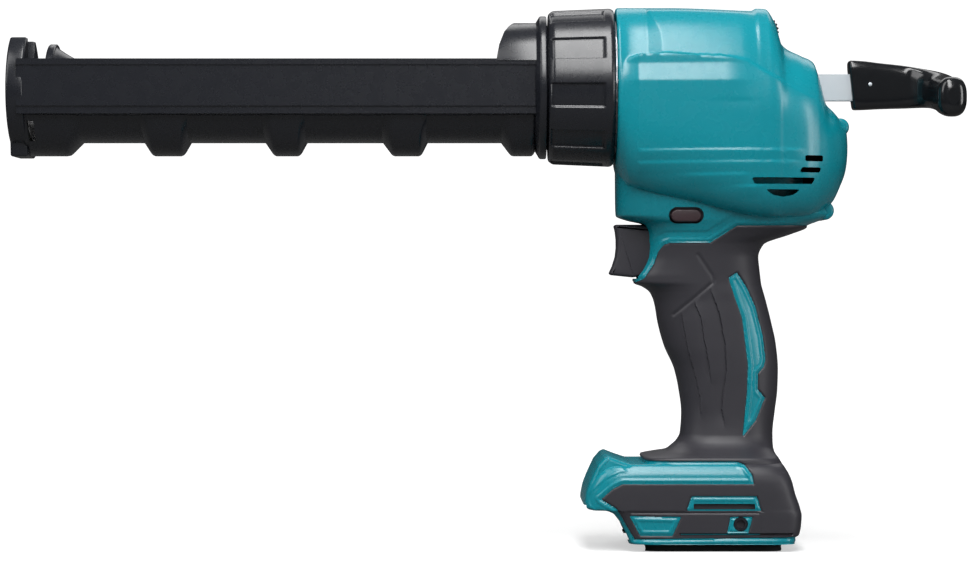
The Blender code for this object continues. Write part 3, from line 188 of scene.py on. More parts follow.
HOOPS = (  # the corners of each rib's outline, along x
    (-292, -290, -269, -262),
    (-232.5, -228, -213, -209),
    (-172.8, -168, -155.4, -151.5),
    (-114.8, -109.5, -95.5, -92),
    (-56.4, -51, -40, -37.5),
)


# ---- Settings -------------------------------------------------------------------------------------


class GunSizes(bpy.types.PropertyGroup):
    """Sizes of the fine surface detail."""

    spacing: bpy.props.FloatProperty(
        name="Mesh spacing", description="Distance between the barrel's rows of points", default=0.55 * MM,
        unit="LENGTH",
    )
    cover_groove: bpy.props.FloatProperty(
        name="Cover groove", description="Depth of the groove round the soft cover", default=0.5 * MM,
        unit="LENGTH",
    )
    rib_step: bpy.props.FloatProperty(
        name="Rib step", description="How far each side rib stands out", default=0.5 * MM, unit="LENGTH"
    )
    flute_depth: bpy.props.FloatProperty(
        name="Flute depth", description="Depth of the ring nut's flutes", default=1.3 * MM, unit="LENGTH"
    )


class GunColours(bpy.types.PropertyGroup):
    """Colours of the finishes, as sRGB hex values."""

    shell: bpy.props.StringProperty(name="Shell", description="Glass-filled nylon housing", default="#008391")
    cover: bpy.props.StringProperty(name="Cover", description="Soft overmould", default="#2f2e34")
    black: bpy.props.StringProperty(name="Black", description="Black nylon", default="#191b21")
    steel: bpy.props.StringProperty(name="Steel", description="Ground push rod", default="#ccd3d8")
    button: bpy.props.StringProperty(name="Button", description="Lock button", default="#3b2c30")
    floor: bpy.props.StringProperty(name="Floor", description="Studio floor", default="#cccccc")


def sizes():
    """The sizes set in the panel."""
    return bpy.context.scene.gun_sizes


def colours():
    """The colours set in the panel."""
    return bpy.context.scene.gun_colours


# ---- Surface arithmetic ---------------------------------------------------------------------------


def place(points):
    """Millimetres from the datum, as metres in the frame."""
    return np.asarray(points, float) * MM + DATUM


def read_table(table, places):
    """Columns of a table read between its rows by monotone cubics, whose slopes are weighted harmonic means."""
    table = np.asarray(sorted(table), float)
    x, y = table[:, 0], table[:, 1:]
    gap = np.diff(x)
    rise = np.diff(y, axis=0) / gap[:, None]
    first, second = (2 * gap[1:] + gap[:-1])[:, None], (gap[1:] + 2 * gap[:-1])[:, None]
    same = rise[:-1] * rise[1:] > 0
    safe_a, safe_b = np.where(same, rise[:-1], 1), np.where(same, rise[1:], 1)
    inner = np.where(same, (first + second) / (first / safe_a + second / safe_b), 0)
    slope = np.vstack([rise[:1], inner, rise[-1:]])
    k = np.clip(np.searchsorted(x, places, side="right") - 1, 0, len(x) - 2)
    t = np.clip((places - x[k]) / gap[k], 0, 1)[:, None]
    wide = gap[k][:, None]
    keep = (1 + 2 * t) * (1 - t) ** 2 * y[k] + t * t * (3 - 2 * t) * y[k + 1]
    return keep + wide * (t * (1 - t) ** 2 * slope[k] + t * t * (t - 1) * slope[k + 1])


def ramp(low, high, value):
    """0 at low, 1 at high and a smooth S between them."""
    t = np.clip((value - low) / (high - low), 0, 1)
    return t * t * (3 - 2 * t)


def evenly(rings, count):
    """Closed rings read again at points spaced evenly along each one."""
    closed = np.concatenate([rings, rings[:, :1]], axis=1)
    length = np.cumsum(np.linalg.norm(np.diff(closed, axis=1), axis=2), axis=1)
    length = np.concatenate([np.zeros((len(rings), 1)), length], axis=1)
    share = np.arange(count) / count
    made = []
    for ring, along in zip(closed, length):
        at = share * along[-1]
        made.append(np.stack([np.interp(at, along, ring[:, axis]) for axis in range(ring.shape[1])], axis=1))
    return np.array(made)


def superellipse(half, low, high, widest, power_high, power_low, count):
    """Rings of (side, height) with |side|^p + |height|^p = 1, and one p above the widest line, one below."""
    turn = np.linspace(0, 2 * np.pi, 8 * count, endpoint=False)[None, :]
    half, low, high, widest, power_high, power_low = (
        np.asarray(value, float)[:, None] for value in (half, low, high, widest, power_high, power_low)
    )
    sine, cosine = np.sin(turn), np.cos(turn)
    power = 2 / np.where(sine >= 0, power_high, power_low)
    reach = np.where(sine >= 0, high - widest, low - widest)
    side = half * np.sign(cosine) * np.abs(cosine) ** power
    return evenly(np.stack([side, widest + reach * np.abs(sine) ** power], axis=2), count)


def outward(points):
    """Unit normals of a grid of rings, from the cross product of its two directions."""
    along = np.gradient(points, axis=0)
    around = np.roll(points, -1, axis=1) - np.roll(points, 1, axis=1)
    normal = np.cross(around, along)
    normal /= np.maximum(np.linalg.norm(normal, axis=2, keepdims=True), 1e-9)
    middle = points.mean(axis=1, keepdims=True)
    row = len(points) // 2
    facing = ((points[row] - middle[row]) * normal[row]).sum()
    return normal if facing > 0 else -normal


def end_caps(points, steps=10):
    """Rings that close both ends of a grid: each end ring again, scaled towards its middle by even shares."""

    def cap(ring):
        middle = ring.mean(axis=0)
        shares = np.linspace(0.97, 0.02, steps)[:, None, None]
        return middle + (ring - middle) * shares

    return np.concatenate([cap(points[0])[::-1], points, cap(points[-1])])


def distance_to_outline(outline, x, z):
    """Distance to a closed outline, negative where a ray to the right crosses it an odd number of times."""
    outline = np.asarray(outline, float)
    nearest = np.full(x.shape, np.inf)
    inside = np.zeros(x.shape, bool)
    for a, b in zip(outline, np.roll(outline, -1, axis=0)):
        nearest = np.minimum(nearest, distance_to_segment(a, b, x, z))
        crosses = (a[1] > z) != (b[1] > z)
        with np.errstate(divide="ignore", invalid="ignore"):
            at = a[0] + (z - a[1]) / (b[1] - a[1]) * (b[0] - a[0])
        inside ^= crosses & (x < at)
    return np.where(inside, -nearest, nearest)


def distance_to_segment(a, b, x, z):
    """Distance to the segment's nearest point, found by the projection on it, held between its ends."""
    a, b = np.asarray(a, float), np.asarray(b, float)
    along = b - a
    t = np.clip(((x - a[0]) * along[0] + (z - a[1]) * along[1]) / (along @ along), 0, 1)
    return np.hypot(x - a[0] - t * along[0], z - a[1] - t * along[1])


def distance_to_path(path, x, z):
    """Distance to the nearest segment of an open path."""
    nearest = np.full(x.shape, np.inf)
    for a, b in zip(path, path[1:]):
        nearest = np.minimum(nearest, distance_to_segment(a, b, x, z))
    return nearest


def bend(start, corner, end, steps):
    """Points of a quadratic curve from start to end that leaves and arrives along the lines to the corner."""
    t = np.linspace(0, 1, steps)[:, None]
    return (1 - t) ** 2 * start + 2 * t * (1 - t) * corner + t * t * end


def rounded(outline, radius, steps=5):
    """A closed outline with each corner bent: the bend starts at radius / tan(half the corner's angle)."""
    outline = np.asarray(outline, float)
    made = []
    for before, here, after in zip(np.roll(outline, 1, axis=0), outline, np.roll(outline, -1, axis=0)):
        back, ahead = before - here, after - here
        long_back, long_ahead = np.linalg.norm(back), np.linalg.norm(ahead)
        back, ahead = back / long_back, ahead / long_ahead
        half = math.acos(np.clip(back @ ahead, -1, 1)) / 2
        reach = min(radius / math.tan(half), 0.45 * long_back, 0.45 * long_ahead) if half < 1.55 else 0.0
        if reach < 0.02:
            made.append(here)
            continue
        made.extend(bend(here + back * reach, here, here + ahead * reach, steps))
    return np.array(made)


def drawn_in(outline, by):
    """An outline moved inwards along the mean normal of its neighbours."""
    outline = np.asarray(outline, float)
    along = np.roll(outline, -1, axis=0) - np.roll(outline, 1, axis=0)
    normal = np.stack([along[:, 1], -along[:, 0]], axis=1)
    normal /= np.maximum(np.linalg.norm(normal, axis=1, keepdims=True), 1e-9)
    area = np.sum(outline[:, 0] * np.roll(outline[:, 1], -1) - outline[:, 1] * np.roll(outline[:, 0], -1))
    return outline - normal * by * np.sign(area)


# ---- Meshes ---------------------------------------------------------------------------------------


def mesh_of_grid(name, points, wrap=False):
    """A mesh over rows of closed rings. The ends are closed by one face each, or joined when wrap is set."""
    rows, count = points.shape[:2]
    index = np.arange(rows * count).reshape(rows, count)
    near, far = (index, np.roll(index, -1, axis=0)) if wrap else (index[:-1], index[1:])
    quads = np.stack([near, np.roll(near, -1, axis=1), np.roll(far, -1, axis=1), far], axis=2).reshape(-1, 4)
    corners = quads.ravel()
    starts = np.arange(len(quads)) * 4
    if not wrap:
        corners = np.concatenate([corners, index[0][::-1], index[-1]])
        starts = np.concatenate([starts, [len(quads) * 4, len(quads) * 4 + count]])
    flat = points.reshape(-1, 3)
    first, second, third = flat[quads[:, 0]], flat[quads[:, 1]], flat[quads[:, 2]]
    middle = flat.mean(axis=0)
    volume = np.einsum("ij,ij->", np.cross(second - first, third - first), (first - middle))
    mesh = bpy.data.meshes.new(name)
    mesh.vertices.add(len(flat))
    mesh.vertices.foreach_set("co", flat.astype(np.float32).ravel())
    mesh.loops.add(len(corners))
    mesh.loops.foreach_set("vertex_index", corners.astype(np.int32))
    mesh.polygons.add(len(starts))
    mesh.polygons.foreach_set("loop_start", starts.astype(np.int32))
    mesh.update(calc_edges=True)
    mesh.validate()
    if volume < 0:
        mesh.flip_normals()
    return mesh


def piece(name, points, materials, wrap=False, sharp=40):
    """A piece of the gun from a grid in millimetres, smooth but for edges over the sharp angle, in degrees."""
    mesh = mesh_of_grid(name, place(points), wrap)
    obj = bpy.data.objects.new(name, mesh)
    bpy.context.scene.collection.objects.link(obj)
    for material in materials:
        mesh.materials.append(material)
    shade(mesh, sharp)
    return obj


def shade(mesh, sharp):
    """Smooth shading for all but many-sided caps, broken at edges over the sharp angle."""
    corners = np.empty(len(mesh.polygons), np.int32)
    mesh.polygons.foreach_get("loop_total", corners)
    mesh.polygons.foreach_set("use_smooth", corners < 6)
    mesh.set_sharp_from_angle(angle=math.radians(sharp))


def carve(obj, cutters, sharp=40):
    """Cuts pockets out of a piece. The walls of a pocket take the piece's second material, mostly the painted
    shade that darkens a pocket's inside.
    """
    for tool in cutters:
        step = obj.modifiers.new("pocket", "BOOLEAN")
        step.operation = "DIFFERENCE"
        step.solver = "MANIFOLD"
        step.object = tool
    bpy.context.view_layer.update()
    graph = bpy.context.evaluated_depsgraph_get()
    mesh = bpy.data.meshes.new_from_object(obj.evaluated_get(graph))
    obj.modifiers.clear()
    obj.data = mesh
    shade(mesh, sharp)
    for tool in cutters:
        bpy.data.objects.remove(tool)
    return obj


def cutter(points):
    """A closed tool for carve(), whose faces carry the second material's index."""
    mesh = mesh_of_grid("pocket", place(points))
    obj = bpy.data.objects.new("pocket", mesh)
    bpy.context.scene.collection.objects.link(obj)
    mesh.polygons.foreach_set("material_index", np.ones(len(mesh.polygons), np.int32))
    for _ in range(2):
        mesh.materials.append(None)
    return obj


def prism(outline, low, high, plane="XZ"):
    """Two copies of an outline, at low and high along the third axis."""
    outline = np.asarray(outline, float)
    rows = []
    for at in (low, high):
        level = np.full(len(outline), at)
        across, up = outline[:, 0], outline[:, 1]
        rows.append(np.stack((across, level, up) if plane == "XZ" else (level, across, up), axis=1))
    return np.array(rows)


def slab(outline, low, high, edge, plane="XZ", steps=5):
    """An outline carried from low to high, drawn in along a quarter circle at both ends."""
    turn = np.linspace(0, np.pi / 2, steps)
    inset = edge * (1 - np.sin(turn))
    depth = edge * (1 - np.cos(turn))
    rows = []
    levels = [(low + d, i) for d, i in zip(depth, inset)]
    levels += [(high - d, i) for d, i in zip(depth[::-1], inset[::-1])]
    for at, by in levels:
        rows.append(prism(drawn_in(outline, by), at, at, plane)[0])
    return np.array(rows)


def box_outline(low, high):
    """The four corners between low and high."""
    return ((low[0], low[1]), (high[0], low[1]), (high[0], high[1]), (low[0], high[1]))


def capsule(centre, length, height, count=24):
    """An outline with round ends: two half circles joined by straight sides."""
    turn = np.linspace(-np.pi / 2, np.pi / 2, count)
    x, z = centre
    right = np.stack([x + length - height + height * np.cos(turn), z + height * np.sin(turn)], axis=1)
    left = np.stack([x - length + height - height * np.cos(turn), z - height * np.sin(turn)], axis=1)
    return np.concatenate([right, left])


def circle(centre, radius, count=32):
    """An outline of evenly spaced points at one radius."""
    turn = np.linspace(0, 2 * np.pi, count, endpoint=False)
    return np.stack([centre[0] + radius * np.cos(turn), centre[1] + radius * np.sin(turn)], axis=1)


def revolved(profile, centre=(0, 0), axis="X", count=96):
    """A profile of (along, radius) points turned round an axis: side = radius cos t, height = radius sin t."""
    profile = np.asarray(profile, float)
    turn = np.linspace(0, 2 * np.pi, count, endpoint=False)
    along = np.repeat(profile[:, :1], count, axis=1)
    side, height = profile[:, 1:] * np.cos(turn), profile[:, 1:] * np.sin(turn)
    if axis == "X":
        return np.stack([along, centre[0] + side, centre[1] + height], axis=2)
    return np.stack([centre[0] + side, along, centre[1] + height], axis=2)


def soft_profile(points, radius, steps=5):
    """An open profile with its inner corners bent, each from and to the radius' distance along its sides."""
    points = np.asarray(points, float)
    made = [points[0]]
    for before, here, after in zip(points, points[1:], points[2:]):
        back, ahead = before - here, after - here
        reach = min(radius, 0.45 * np.linalg.norm(back), 0.45 * np.linalg.norm(ahead))
        start = here + back / np.linalg.norm(back) * reach
        end = here + ahead / np.linalg.norm(ahead) * reach
        made.extend(bend(start, here, end, steps))
    made.append(points[-1])
    return np.array(made)


def finish(obj, body, slot, *nodes):
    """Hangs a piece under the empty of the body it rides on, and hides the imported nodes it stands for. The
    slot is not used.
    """
    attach(obj, body)
    if nodes:
        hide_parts(*nodes)
    return obj


# ---- Materials ------------------------------------------------------------------------------------


def linear(text):
    """An sRGB hex colour as linear (red, green, blue, 1)."""
    values = [int(text.lstrip("#")[k : k + 2], 16) / 255 for k in (0, 2, 4)]
    return (*[v / 12.92 if v <= 0.04045 else ((v + 0.055) / 1.055) ** 2.4 for v in values], 1.0)


def add_node(tree, kind, settings=None, inputs=None, links=None):
    """A node with its settings, its inputs' values, and links from other sockets."""
    made = tree.nodes.new("ShaderNode" + kind)
    for key, value in (settings or {}).items():
        setattr(made, key, value)
    for key, value in (inputs or {}).items():
        made.inputs[key].default_value = value
    for key, socket in (links or {}).items():
        tree.links.new(socket, made.inputs[key])
    return made


def start_material(name, colour, roughness, metallic=0.0, **values):
    """A material with these values on its shader's own sockets."""
    material = bpy.data.materials.new(name)
    material.use_nodes = True
    shader = material.node_tree.nodes["Principled BSDF"]
    shader.inputs["Base Color"].default_value = linear(colour)
    shader.inputs["Roughness"].default_value = roughness
    shader.inputs["Metallic"].default_value = metallic
    for key, value in values.items():
        shader.inputs[key].default_value = value
    return material, material.node_tree, shader


def object_space(tree, stretch=(1, 1, 1)):
    """Object coordinates in metres, scaled by stretch along each axis."""
    at = add_node(tree, "TexCoord").outputs["Object"]
    return add_node(tree, "Mapping", inputs={"Scale": stretch}, links={"Vector": at}).outputs["Vector"]


def moulded(name, colour, roughness, grain_mm, grain_depth, sway=0.012, seam=False, **values):
    """A moulded plastic: its tone and roughness drift slowly, over a fine grain from the tool's texture."""
    material, tree, shader = start_material(name, colour, roughness, **values)
    space = object_space(tree)
    drift = add_node(tree, "TexNoise", inputs={"Scale": 1 / (22 * MM), "Detail": 3.0}, links={"Vector": space})
    tone = add_node(
        tree, "HueSaturation", inputs={"Color": linear(colour)},
        links={"Value": spread(tree, drift.outputs["Fac"], 1 - sway, 1 + sway)},
    )
    tree.links.new(tone.outputs["Color"], shader.inputs["Base Color"])
    wear = add_node(tree, "TexNoise", inputs={"Scale": 1 / (6 * MM), "Detail": 4.0}, links={"Vector": space})
    rough = spread(tree, wear.outputs["Fac"], roughness - 0.015, roughness + 0.02)
    tree.links.new(rough, shader.inputs["Roughness"])
    grain = add_node(
        tree, "TexNoise", inputs={"Scale": 1 / (grain_mm * MM), "Detail": 2.0}, links={"Vector": space}
    )
    bump = add_node(
        tree, "Bump", inputs={"Strength": 0.5, "Distance": grain_depth * MM},
        links={"Height": grain.outputs["Fac"]},
    )
    if seam:
        # The halves meet on the centre plane in a line about 0.3 mm wide: a bump grooves it and a painted
        # shadow darkens it.
        apart = add_node(tree, "SeparateXYZ", links={"Vector": space})
        away = add_node(tree, "Math", {"operation": "ABSOLUTE"}, links={0: apart.outputs["Y"]})
        line = add_node(
            tree, "MapRange", inputs={"From Min": 0.1 * MM, "From Max": 0.35 * MM},
            links={"Value": away.outputs[0]},
        )
        groove = add_node(
            tree, "Bump", inputs={"Strength": 1.0, "Distance": 0.3 * MM},
            links={"Height": line.outputs["Result"], "Normal": bump.outputs["Normal"]},
        )
        shadow = add_node(
            tree, "Mix", {"data_type": "RGBA"}, inputs={"A": (0.0, 0.02, 0.025, 1)},
            links={"Factor": line.outputs["Result"], "B": tone.outputs["Color"]},
        )
        tree.links.new(shadow.outputs["Result"], shader.inputs["Base Color"])
        bump = groove
    tree.links.new(bump.outputs["Normal"], shader.inputs["Normal"])
    return material


def spread(tree, socket, low, high):
    """A noise's 0.3 to 0.7 spread over low to high."""
    limits = {"From Min": 0.3, "From Max": 0.7, "To Min": low, "To Max": high}
    return add_node(tree, "MapRange", inputs=limits, links={"Value": socket}).outputs["Result"]


def machined(name, colour, roughness, along, grind_mm=0.25, depth=0.02):
    """A metal with the fine parallel lines that grinding leaves, drawn coarse enough to show."""
    material, tree, shader = start_material(name, colour, roughness, metallic=1.0)
    stretch = {"X": (0.03, 1, 1), "Y": (1, 0.03, 1), "Z": (1, 1, 0.03), "none": (1, 1, 1)}[along]
    lines = add_node(
        tree, "TexNoise", inputs={"Scale": 1 / (grind_mm * MM), "Detail": 3.0},
        links={"Vector": object_space(tree, stretch)},
    )
    drift = add_node(
        tree, "TexNoise", inputs={"Scale": 1 / (14 * MM), "Detail": 3.0}, links={"Vector": object_space(tree)}
    )
    rough = spread(tree, drift.outputs["Fac"], roughness - 0.06, roughness + 0.1)
    tree.links.new(rough, shader.inputs["Roughness"])
    bump = add_node(
        tree, "Bump", inputs={"Strength": 0.4, "Distance": depth * MM}, links={"Height": lines.outputs["Fac"]}
    )
    tree.links.new(bump.outputs["Normal"], shader.inputs["Normal"])
    return material


MATERIALS = {}


def make_materials():
    """Every finish on the gun, named for what it is."""
    tone = colours()
    # Glass-filled nylon, injection moulded: satin, with a fine spark-eroded grain and a broad soft highlight.
    MATERIALS["shell"] = moulded("glass_filled_nylon", tone.shell, 0.27, 0.6, 0.012, seam=True, IOR=1.53)
    # Thermoplastic elastomer moulded over the shell: matt, slightly warm, with a fine leathery grain.
    MATERIALS["cover"] = moulded(
        "elastomer_overmould", tone.cover, 0.47, 0.7, 0.03, sway=0.03, seam=True, IOR=1.5
    )
    # Black nylon with a polished tool face: deep black with clean reflections.
    MATERIALS["black"] = moulded("black_nylon", tone.black, 0.27, 1.2, 0.008, IOR=1.53)
    # Black nylon rubbed by hands: a softer shine.
    MATERIALS["satin_black"] = moulded("satin_black_nylon", tone.black, 0.42, 0.8, 0.015, IOR=1.53)
    # Glossy dipped rubbery plastic of the pull: strong highlights.
    MATERIALS["pull"] = moulded("polished_black_nylon", "#101215", 0.16, 3.0, 0.02, IOR=1.53)
    # Brown-black acetal of the lock button: smooth and waxy.
    MATERIALS["button"] = moulded("acetal_button", tone.button, 0.38, 0.9, 0.01, IOR=1.48)
    # The inside of pockets, vents and slots, and the plinth under the foot: painted shade, a near-black that
    # stands in for the shade there.
    MATERIALS["cavity"] = moulded("unlit_cavity", "#04090a", 0.7, 1.0, 0.02, IOR=1.5)
    # Ground and zinc plated steel bar: bright, with lines along its length.
    MATERIALS["bright_steel"] = machined("ground_steel", tone.steel, 0.5, "X")
    # Hardened and oiled gear steel: dark grey.
    MATERIALS["dark_steel"] = machined("oiled_gear_steel", "#5a5c60", 0.36, "none", 0.5)
    # Die-cast aluminium: pale grey with a sandy skin.
    MATERIALS["alloy"] = machined("die_cast_aluminium", "#b4b6ba", 0.48, "none", 0.6, 0.05)
    # Turned brass: yellow and slightly dull.
    MATERIALS["brass"] = machined("turned_brass", "#c9a24e", 0.3, "Y")
    # Enamelled copper winding.
    MATERIALS["copper"] = machined("enamelled_copper", "#a85a36", 0.34, "X", 0.5, 0.1)
    # Lacquered circuit board.
    MATERIALS["board"] = moulded("lacquered_board", "#0f4a2b", 0.35, 1.5, 0.01, IOR=1.55)
    # Insulated wire in red, from soft vinyl.
    MATERIALS["red_wire"] = moulded("red_vinyl", "#8e1515", 0.42, 0.8, 0.01, IOR=1.54)


NODE_FINISH = {
    "alloy": ("gear_case",),
    "satin_black": (
        "rod_guide_front", "rod_guide_rear", "switch_body", "terminal_block", "motor_end_cap", "fan",
        "switch_plunger",
    ),
    "brass": (
        "pinion_bush_left", "pinion_bush_right", "cross_bush_left", "cross_bush_right", "terminal_blade_left",
        "terminal_blade_right",
    ),
    "bright_steel": (
        "rack_rod", "motor_can", "rotor_bearing_front", "rotor_bearing_rear", "planet_carrier",
        *(f"planet_gear_{k}" for k in range(1, 4)), "clutch_ring",
    ),
    "dark_steel": (
        "rack_pinion", "drive_gear", "cross_shaft", "ring_gear", "motor_magnet_upper", "motor_magnet_lower",
        *(f"housing_screw_{k}" for k in range(1, 9)),
    ),
    "copper": ("armature", "commutator"),
    "board": ("control_board",),
    "red_wire": ("motor_lead_left", "battery_lead_left"),
    # The hook inserts take black nylon as painted shade, so that the hook's holes read dark.
    "black": ("motor_lead_right", "battery_lead_right", "hook_insert_left", "hook_insert_right"),
}


def dress_packed_parts():
    """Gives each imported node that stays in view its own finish."""
    for finish_name, names in NODE_FINISH.items():
        for name in names:
            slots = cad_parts[name].data.materials
            slots.clear()
            slots.append(MATERIALS[finish_name])


# ---- Housing --------------------------------------------------------------------------------------


def quarter_round(radius, distance):
    """How far a rounded edge has drawn in, radius - sqrt(radius^2 - d^2), at this distance from the end."""
    return radius - np.sqrt(np.maximum(radius**2 - np.clip(radius - distance, 0, radius) ** 2, 0))


def barrel_points(count=430):
    """The barrel: half ovals along x, pushed along their normals for the side panel, ribs and dome."""
    front, rear = 0.3, 114.8
    step = sizes().spacing / MM
    x = np.concatenate([np.linspace(front, 1.9, 6), np.arange(2.4, 104, step), np.linspace(104.3, rear, 26)])
    top, bottom, half, widest, above, below = read_table(BARREL, x).T
    inset = quarter_round(1.6, x - front)
    inset += quarter_round(1.5, rear - x)
    rings = superellipse(half - inset, bottom + inset, top - inset, widest, above, below, count)
    points = np.concatenate([np.repeat(x[:, None, None], count, axis=1), rings], axis=2)
    normal = outward(points)
    along, height = points[..., 0], points[..., 2]
    facing = ramp(0.25, 0.6, np.abs(normal[..., 1]))
    push = side_relief(along, height, np.abs(points[..., 1])) * facing
    push = push + dome_relief(along, height, normal[..., 1])
    points = end_caps(points + normal * push[..., None])
    points[..., 1] = np.minimum(points[..., 1], 39.9)  # keeps the skin within the solids' width
    return points


def side_relief(x, z, side):
    """The side panel: a sloped flank, a chamfered top under the ledge, and ribs that step out and die away."""
    ledge = np.interp(x, *np.transpose(LEDGE))
    under = ramp(0.9, -0.9, z - ledge)
    flank = np.clip((x - 2.6) / 7.6, 0, 1)
    fade = 1 - ramp(70, 100, x)
    panel = 40.1 - 0.27 * np.clip(z - 1, 0, 8)
    chamfer = np.clip(panel - side, 1.0, 3.4) - 1.5
    push = (1.5 + chamfer * ramp(-9.5, -7, z) * ramp(72, 52, x)) * under * flank * fade
    step = sizes().rib_step / MM
    for height, start, end in RIBS:
        reach = height - z
        tooth = ramp(-0.35, 0.35, reach) * np.clip(1 - reach / 5.7, 0, 1)
        begins = ramp(start - 0.5, start + (1 if start < 20 else 16), x)
        push = push + step * tooth * begins * ramp(end + 2, end - 6, x)
    return push


def dome_relief(x, z, sideways):
    """The barrel stands a little proud behind its front band, past a slope that leans back as it falls."""
    start = 14.8
    end = np.interp(z, *np.transpose(DOME_STEP))
    over = ramp(-0.4, 0.4, z - np.interp(x, *np.transpose(LEDGE)))
    on_side = ramp(0.25, 0.5, np.abs(sideways))
    return 1.5 * np.clip((x - start) / (end - start), 0, 1) * over * on_side * (1 - ramp(60, 74, x))


def cover_distance(x, z):
    """Signed distance to the soft cover's edge, negative on the cover."""
    away = distance_to_outline(COVER, x, z)
    for outline in (INLAY, *FOOT_ISLANDS):
        away = np.maximum(away, -distance_to_outline(outline, x, z))
    return away


def stacked(table, z, count):
    """Superellipses stacked along z, each between its row's front and rear."""
    front, rear, half, fullness = read_table(table, z).T
    long = (rear - front) / 2
    rings = superellipse(half, -long, long, 0 * long, fullness, fullness, count)
    level = np.repeat(z[:, None], count, axis=1)
    return np.stack([(front + long)[:, None] + rings[..., 1], rings[..., 0], level], axis=2)


def grip_points():
    """The grip, from inside the barrel down to the foot."""
    return stacked(GRIP, -np.concatenate([np.arange(42, 170, 0.52), np.arange(170, 186, 0.45)]), 336)


def foot_points():
    """The battery foot, closed by many rings so that the cover's edge runs over its top."""
    z = -np.concatenate([[184.3], np.arange(184.55, 226.0, 0.5), np.linspace(226.05, 226.5, 3)])
    return end_caps(stacked(FOOT, z, 700), FOOT_RINGS)


def grip_relief(x, z):
    """Creases pressed into the cover, and flutes whose edges catch the light."""
    push = np.zeros(x.shape)
    push -= 0.5 * np.exp(-((distance_to_path(CREASE, x, z) / 0.75) ** 2))
    for path in FLUTES:
        path = np.asarray(path)
        away = distance_to_path(path, x, z)
        side = np.sign(x - np.interp(z, path[::-1, 1], path[::-1, 0]))
        ends = ramp(path[-1, 1] - 1, path[-1, 1] + 7, z) * ramp(path[0, 1] + 2, path[0, 1] - 4, z)
        push += 0.45 * side * np.exp(-away / 2.6) * ends
    return push


def foot_relief(x, z, sideways):
    """Lines on the foot: a shadow gap over the rim, a crease between the two bands, and the slot's frame."""
    flat = ramp(0.7, 0.95, np.abs(sideways))
    gap = ramp(0.75, 0.35, np.abs(z + 217.8)) * ramp(29.8, 30.6, x) * ramp(85, 84, x)
    crease = np.exp(-(((z + 207.3) / 0.5) ** 2)) * ramp(5, 7, x) * ramp(69.5, 67.5, x)
    lower = ramp(-206.9, -207.6, z) * ramp(69.5, 68, x) * ramp(4, 6, x)
    return -(1.5 * gap + 0.45 * crease + 0.25 * lower) * flat


def cover_steps(away):
    """How far the shell and the cover are pushed. They meet in a groove at the cover's edge."""
    deep = sizes().cover_groove / MM
    shell = -1.5 * ramp(0.15, -1.1, away) - deep * np.exp(-((away / 0.7) ** 2)) * (away > 0)
    shell -= 0.35 * ramp(1.7, 2.5, away) * ramp(6, 5, away)
    cover = 0.12 - (1.6 + deep) * ramp(-0.7, 0.75, away)
    return shell, cover


def vent_cutters():
    """The air slots, through both flanks."""
    cutters = []
    for outline in VENTS:
        for side in (-1, 1):
            cutters.append(cutter(prism(rounded(outline, 0.9, 4), *sorted((side * 22, side * 60)))))
    return cutters


def well_cutters(chosen):
    """A round well over each chosen screw, on the right side."""
    return [cutter(prism(circle(SCREWS[k], WELL_RADIUS, 28), 13.2, 60)) for k in chosen]


def build_barrel():
    """The barrel's skin with its vents and wells, open for the gear case's nose, the rod and the speed dial."""
    obj = piece("barrel_shell", barrel_points(), [MATERIALS["shell"], MATERIALS["cavity"]], sharp=55)
    cutters = vent_cutters() + well_cutters((0, 1, 2, 3))
    cutters.append(cutter(revolved(((-5, 0.4), (-5, 33.3), (4, 33.3), (4, 0.4)), count=96)))
    cutters.append(cutter(prism(rounded(box_outline((-4.6, -8), (4.6, 8)), 1), -2, 125, "YZ")))
    cutters.append(cutter(prism(circle(DIAL, 8.6, 48), -4.7, 4.7)))
    carve(obj, cutters, 45)
    finish(obj, "housing", "teal_shell", "housing_left", "housing_right")
    for k, (centre, radius, half) in enumerate(REAR_BOSSES, 1):
        rows = slab(circle(centre, radius, 48), -half, half, 1.8, steps=8)
        finish(piece(f"rear_boss_{k}", rows, [MATERIALS["shell"]], sharp=50), "housing", "teal_shell")


def pocket_cutters(grow=0.0):
    """The trigger's pocket, grown on the cover so that the shell's walls show, and room for the gear train."""
    reach = 9.3 + grow
    return [
        cutter(prism(box_outline((-6, -94.4 - grow), (30 + grow, -66.8 + grow)), -reach, reach)),
        cutter(prism(box_outline((38, -59.6), (57, -38)), -21, 21)),
    ]


def recess_cutters(grow=0.0):
    """The battery's recess: a wide channel, a narrower mouth between the rails, and the terminals' box."""
    upper, lower = 33.5 + grow, 28.5 + grow
    rear, top = 79 + grow, -204 + grow
    return [
        cutter(prism(box_outline((-31, -221), (rear, top)), -upper, upper)),
        cutter(prism(box_outline((-31, -232), (rear, -220.5)), -lower, lower)),
        cutter(prism(box_outline((41, -207), (75, -199)), -22, 22)),
    ]


def build_grip():
    """The grip: a shell and a cover over one surface, pushed apart so that each shows in its own region."""
    points = grip_points()
    normal = outward(points)
    x, z = points[..., 0], points[..., 2]
    shell_push, cover_push = cover_steps(cover_distance(x, z))
    rows = end_caps(points + normal * shell_push[..., None])
    shell = piece("grip_shell", rows, [MATERIALS["shell"], MATERIALS["cavity"]], sharp=55)
    wells = well_cutters((3, 4, 5))
    carve(shell, pocket_cutters() + [cutter(prism(capsule(LOCK, 8.5, 4.0), -60, 60))] + wells, 45)
    finish(shell, "housing", "teal_shell")
    relief = grip_relief(x, z) * ramp(0.3, 0.8, np.abs(normal[..., 1]))
    rows = end_caps(points + normal * (cover_push + relief)[..., None])
    cover = piece("grip_cover", rows, [MATERIALS["cover"], MATERIALS["cavity"]], sharp=50)
    carve(cover, pocket_cutters(0.4) + well_cutters((4, 5)), 45)
    finish(cover, "housing", "soft_cover", "grip_cover_left", "grip_cover_right")


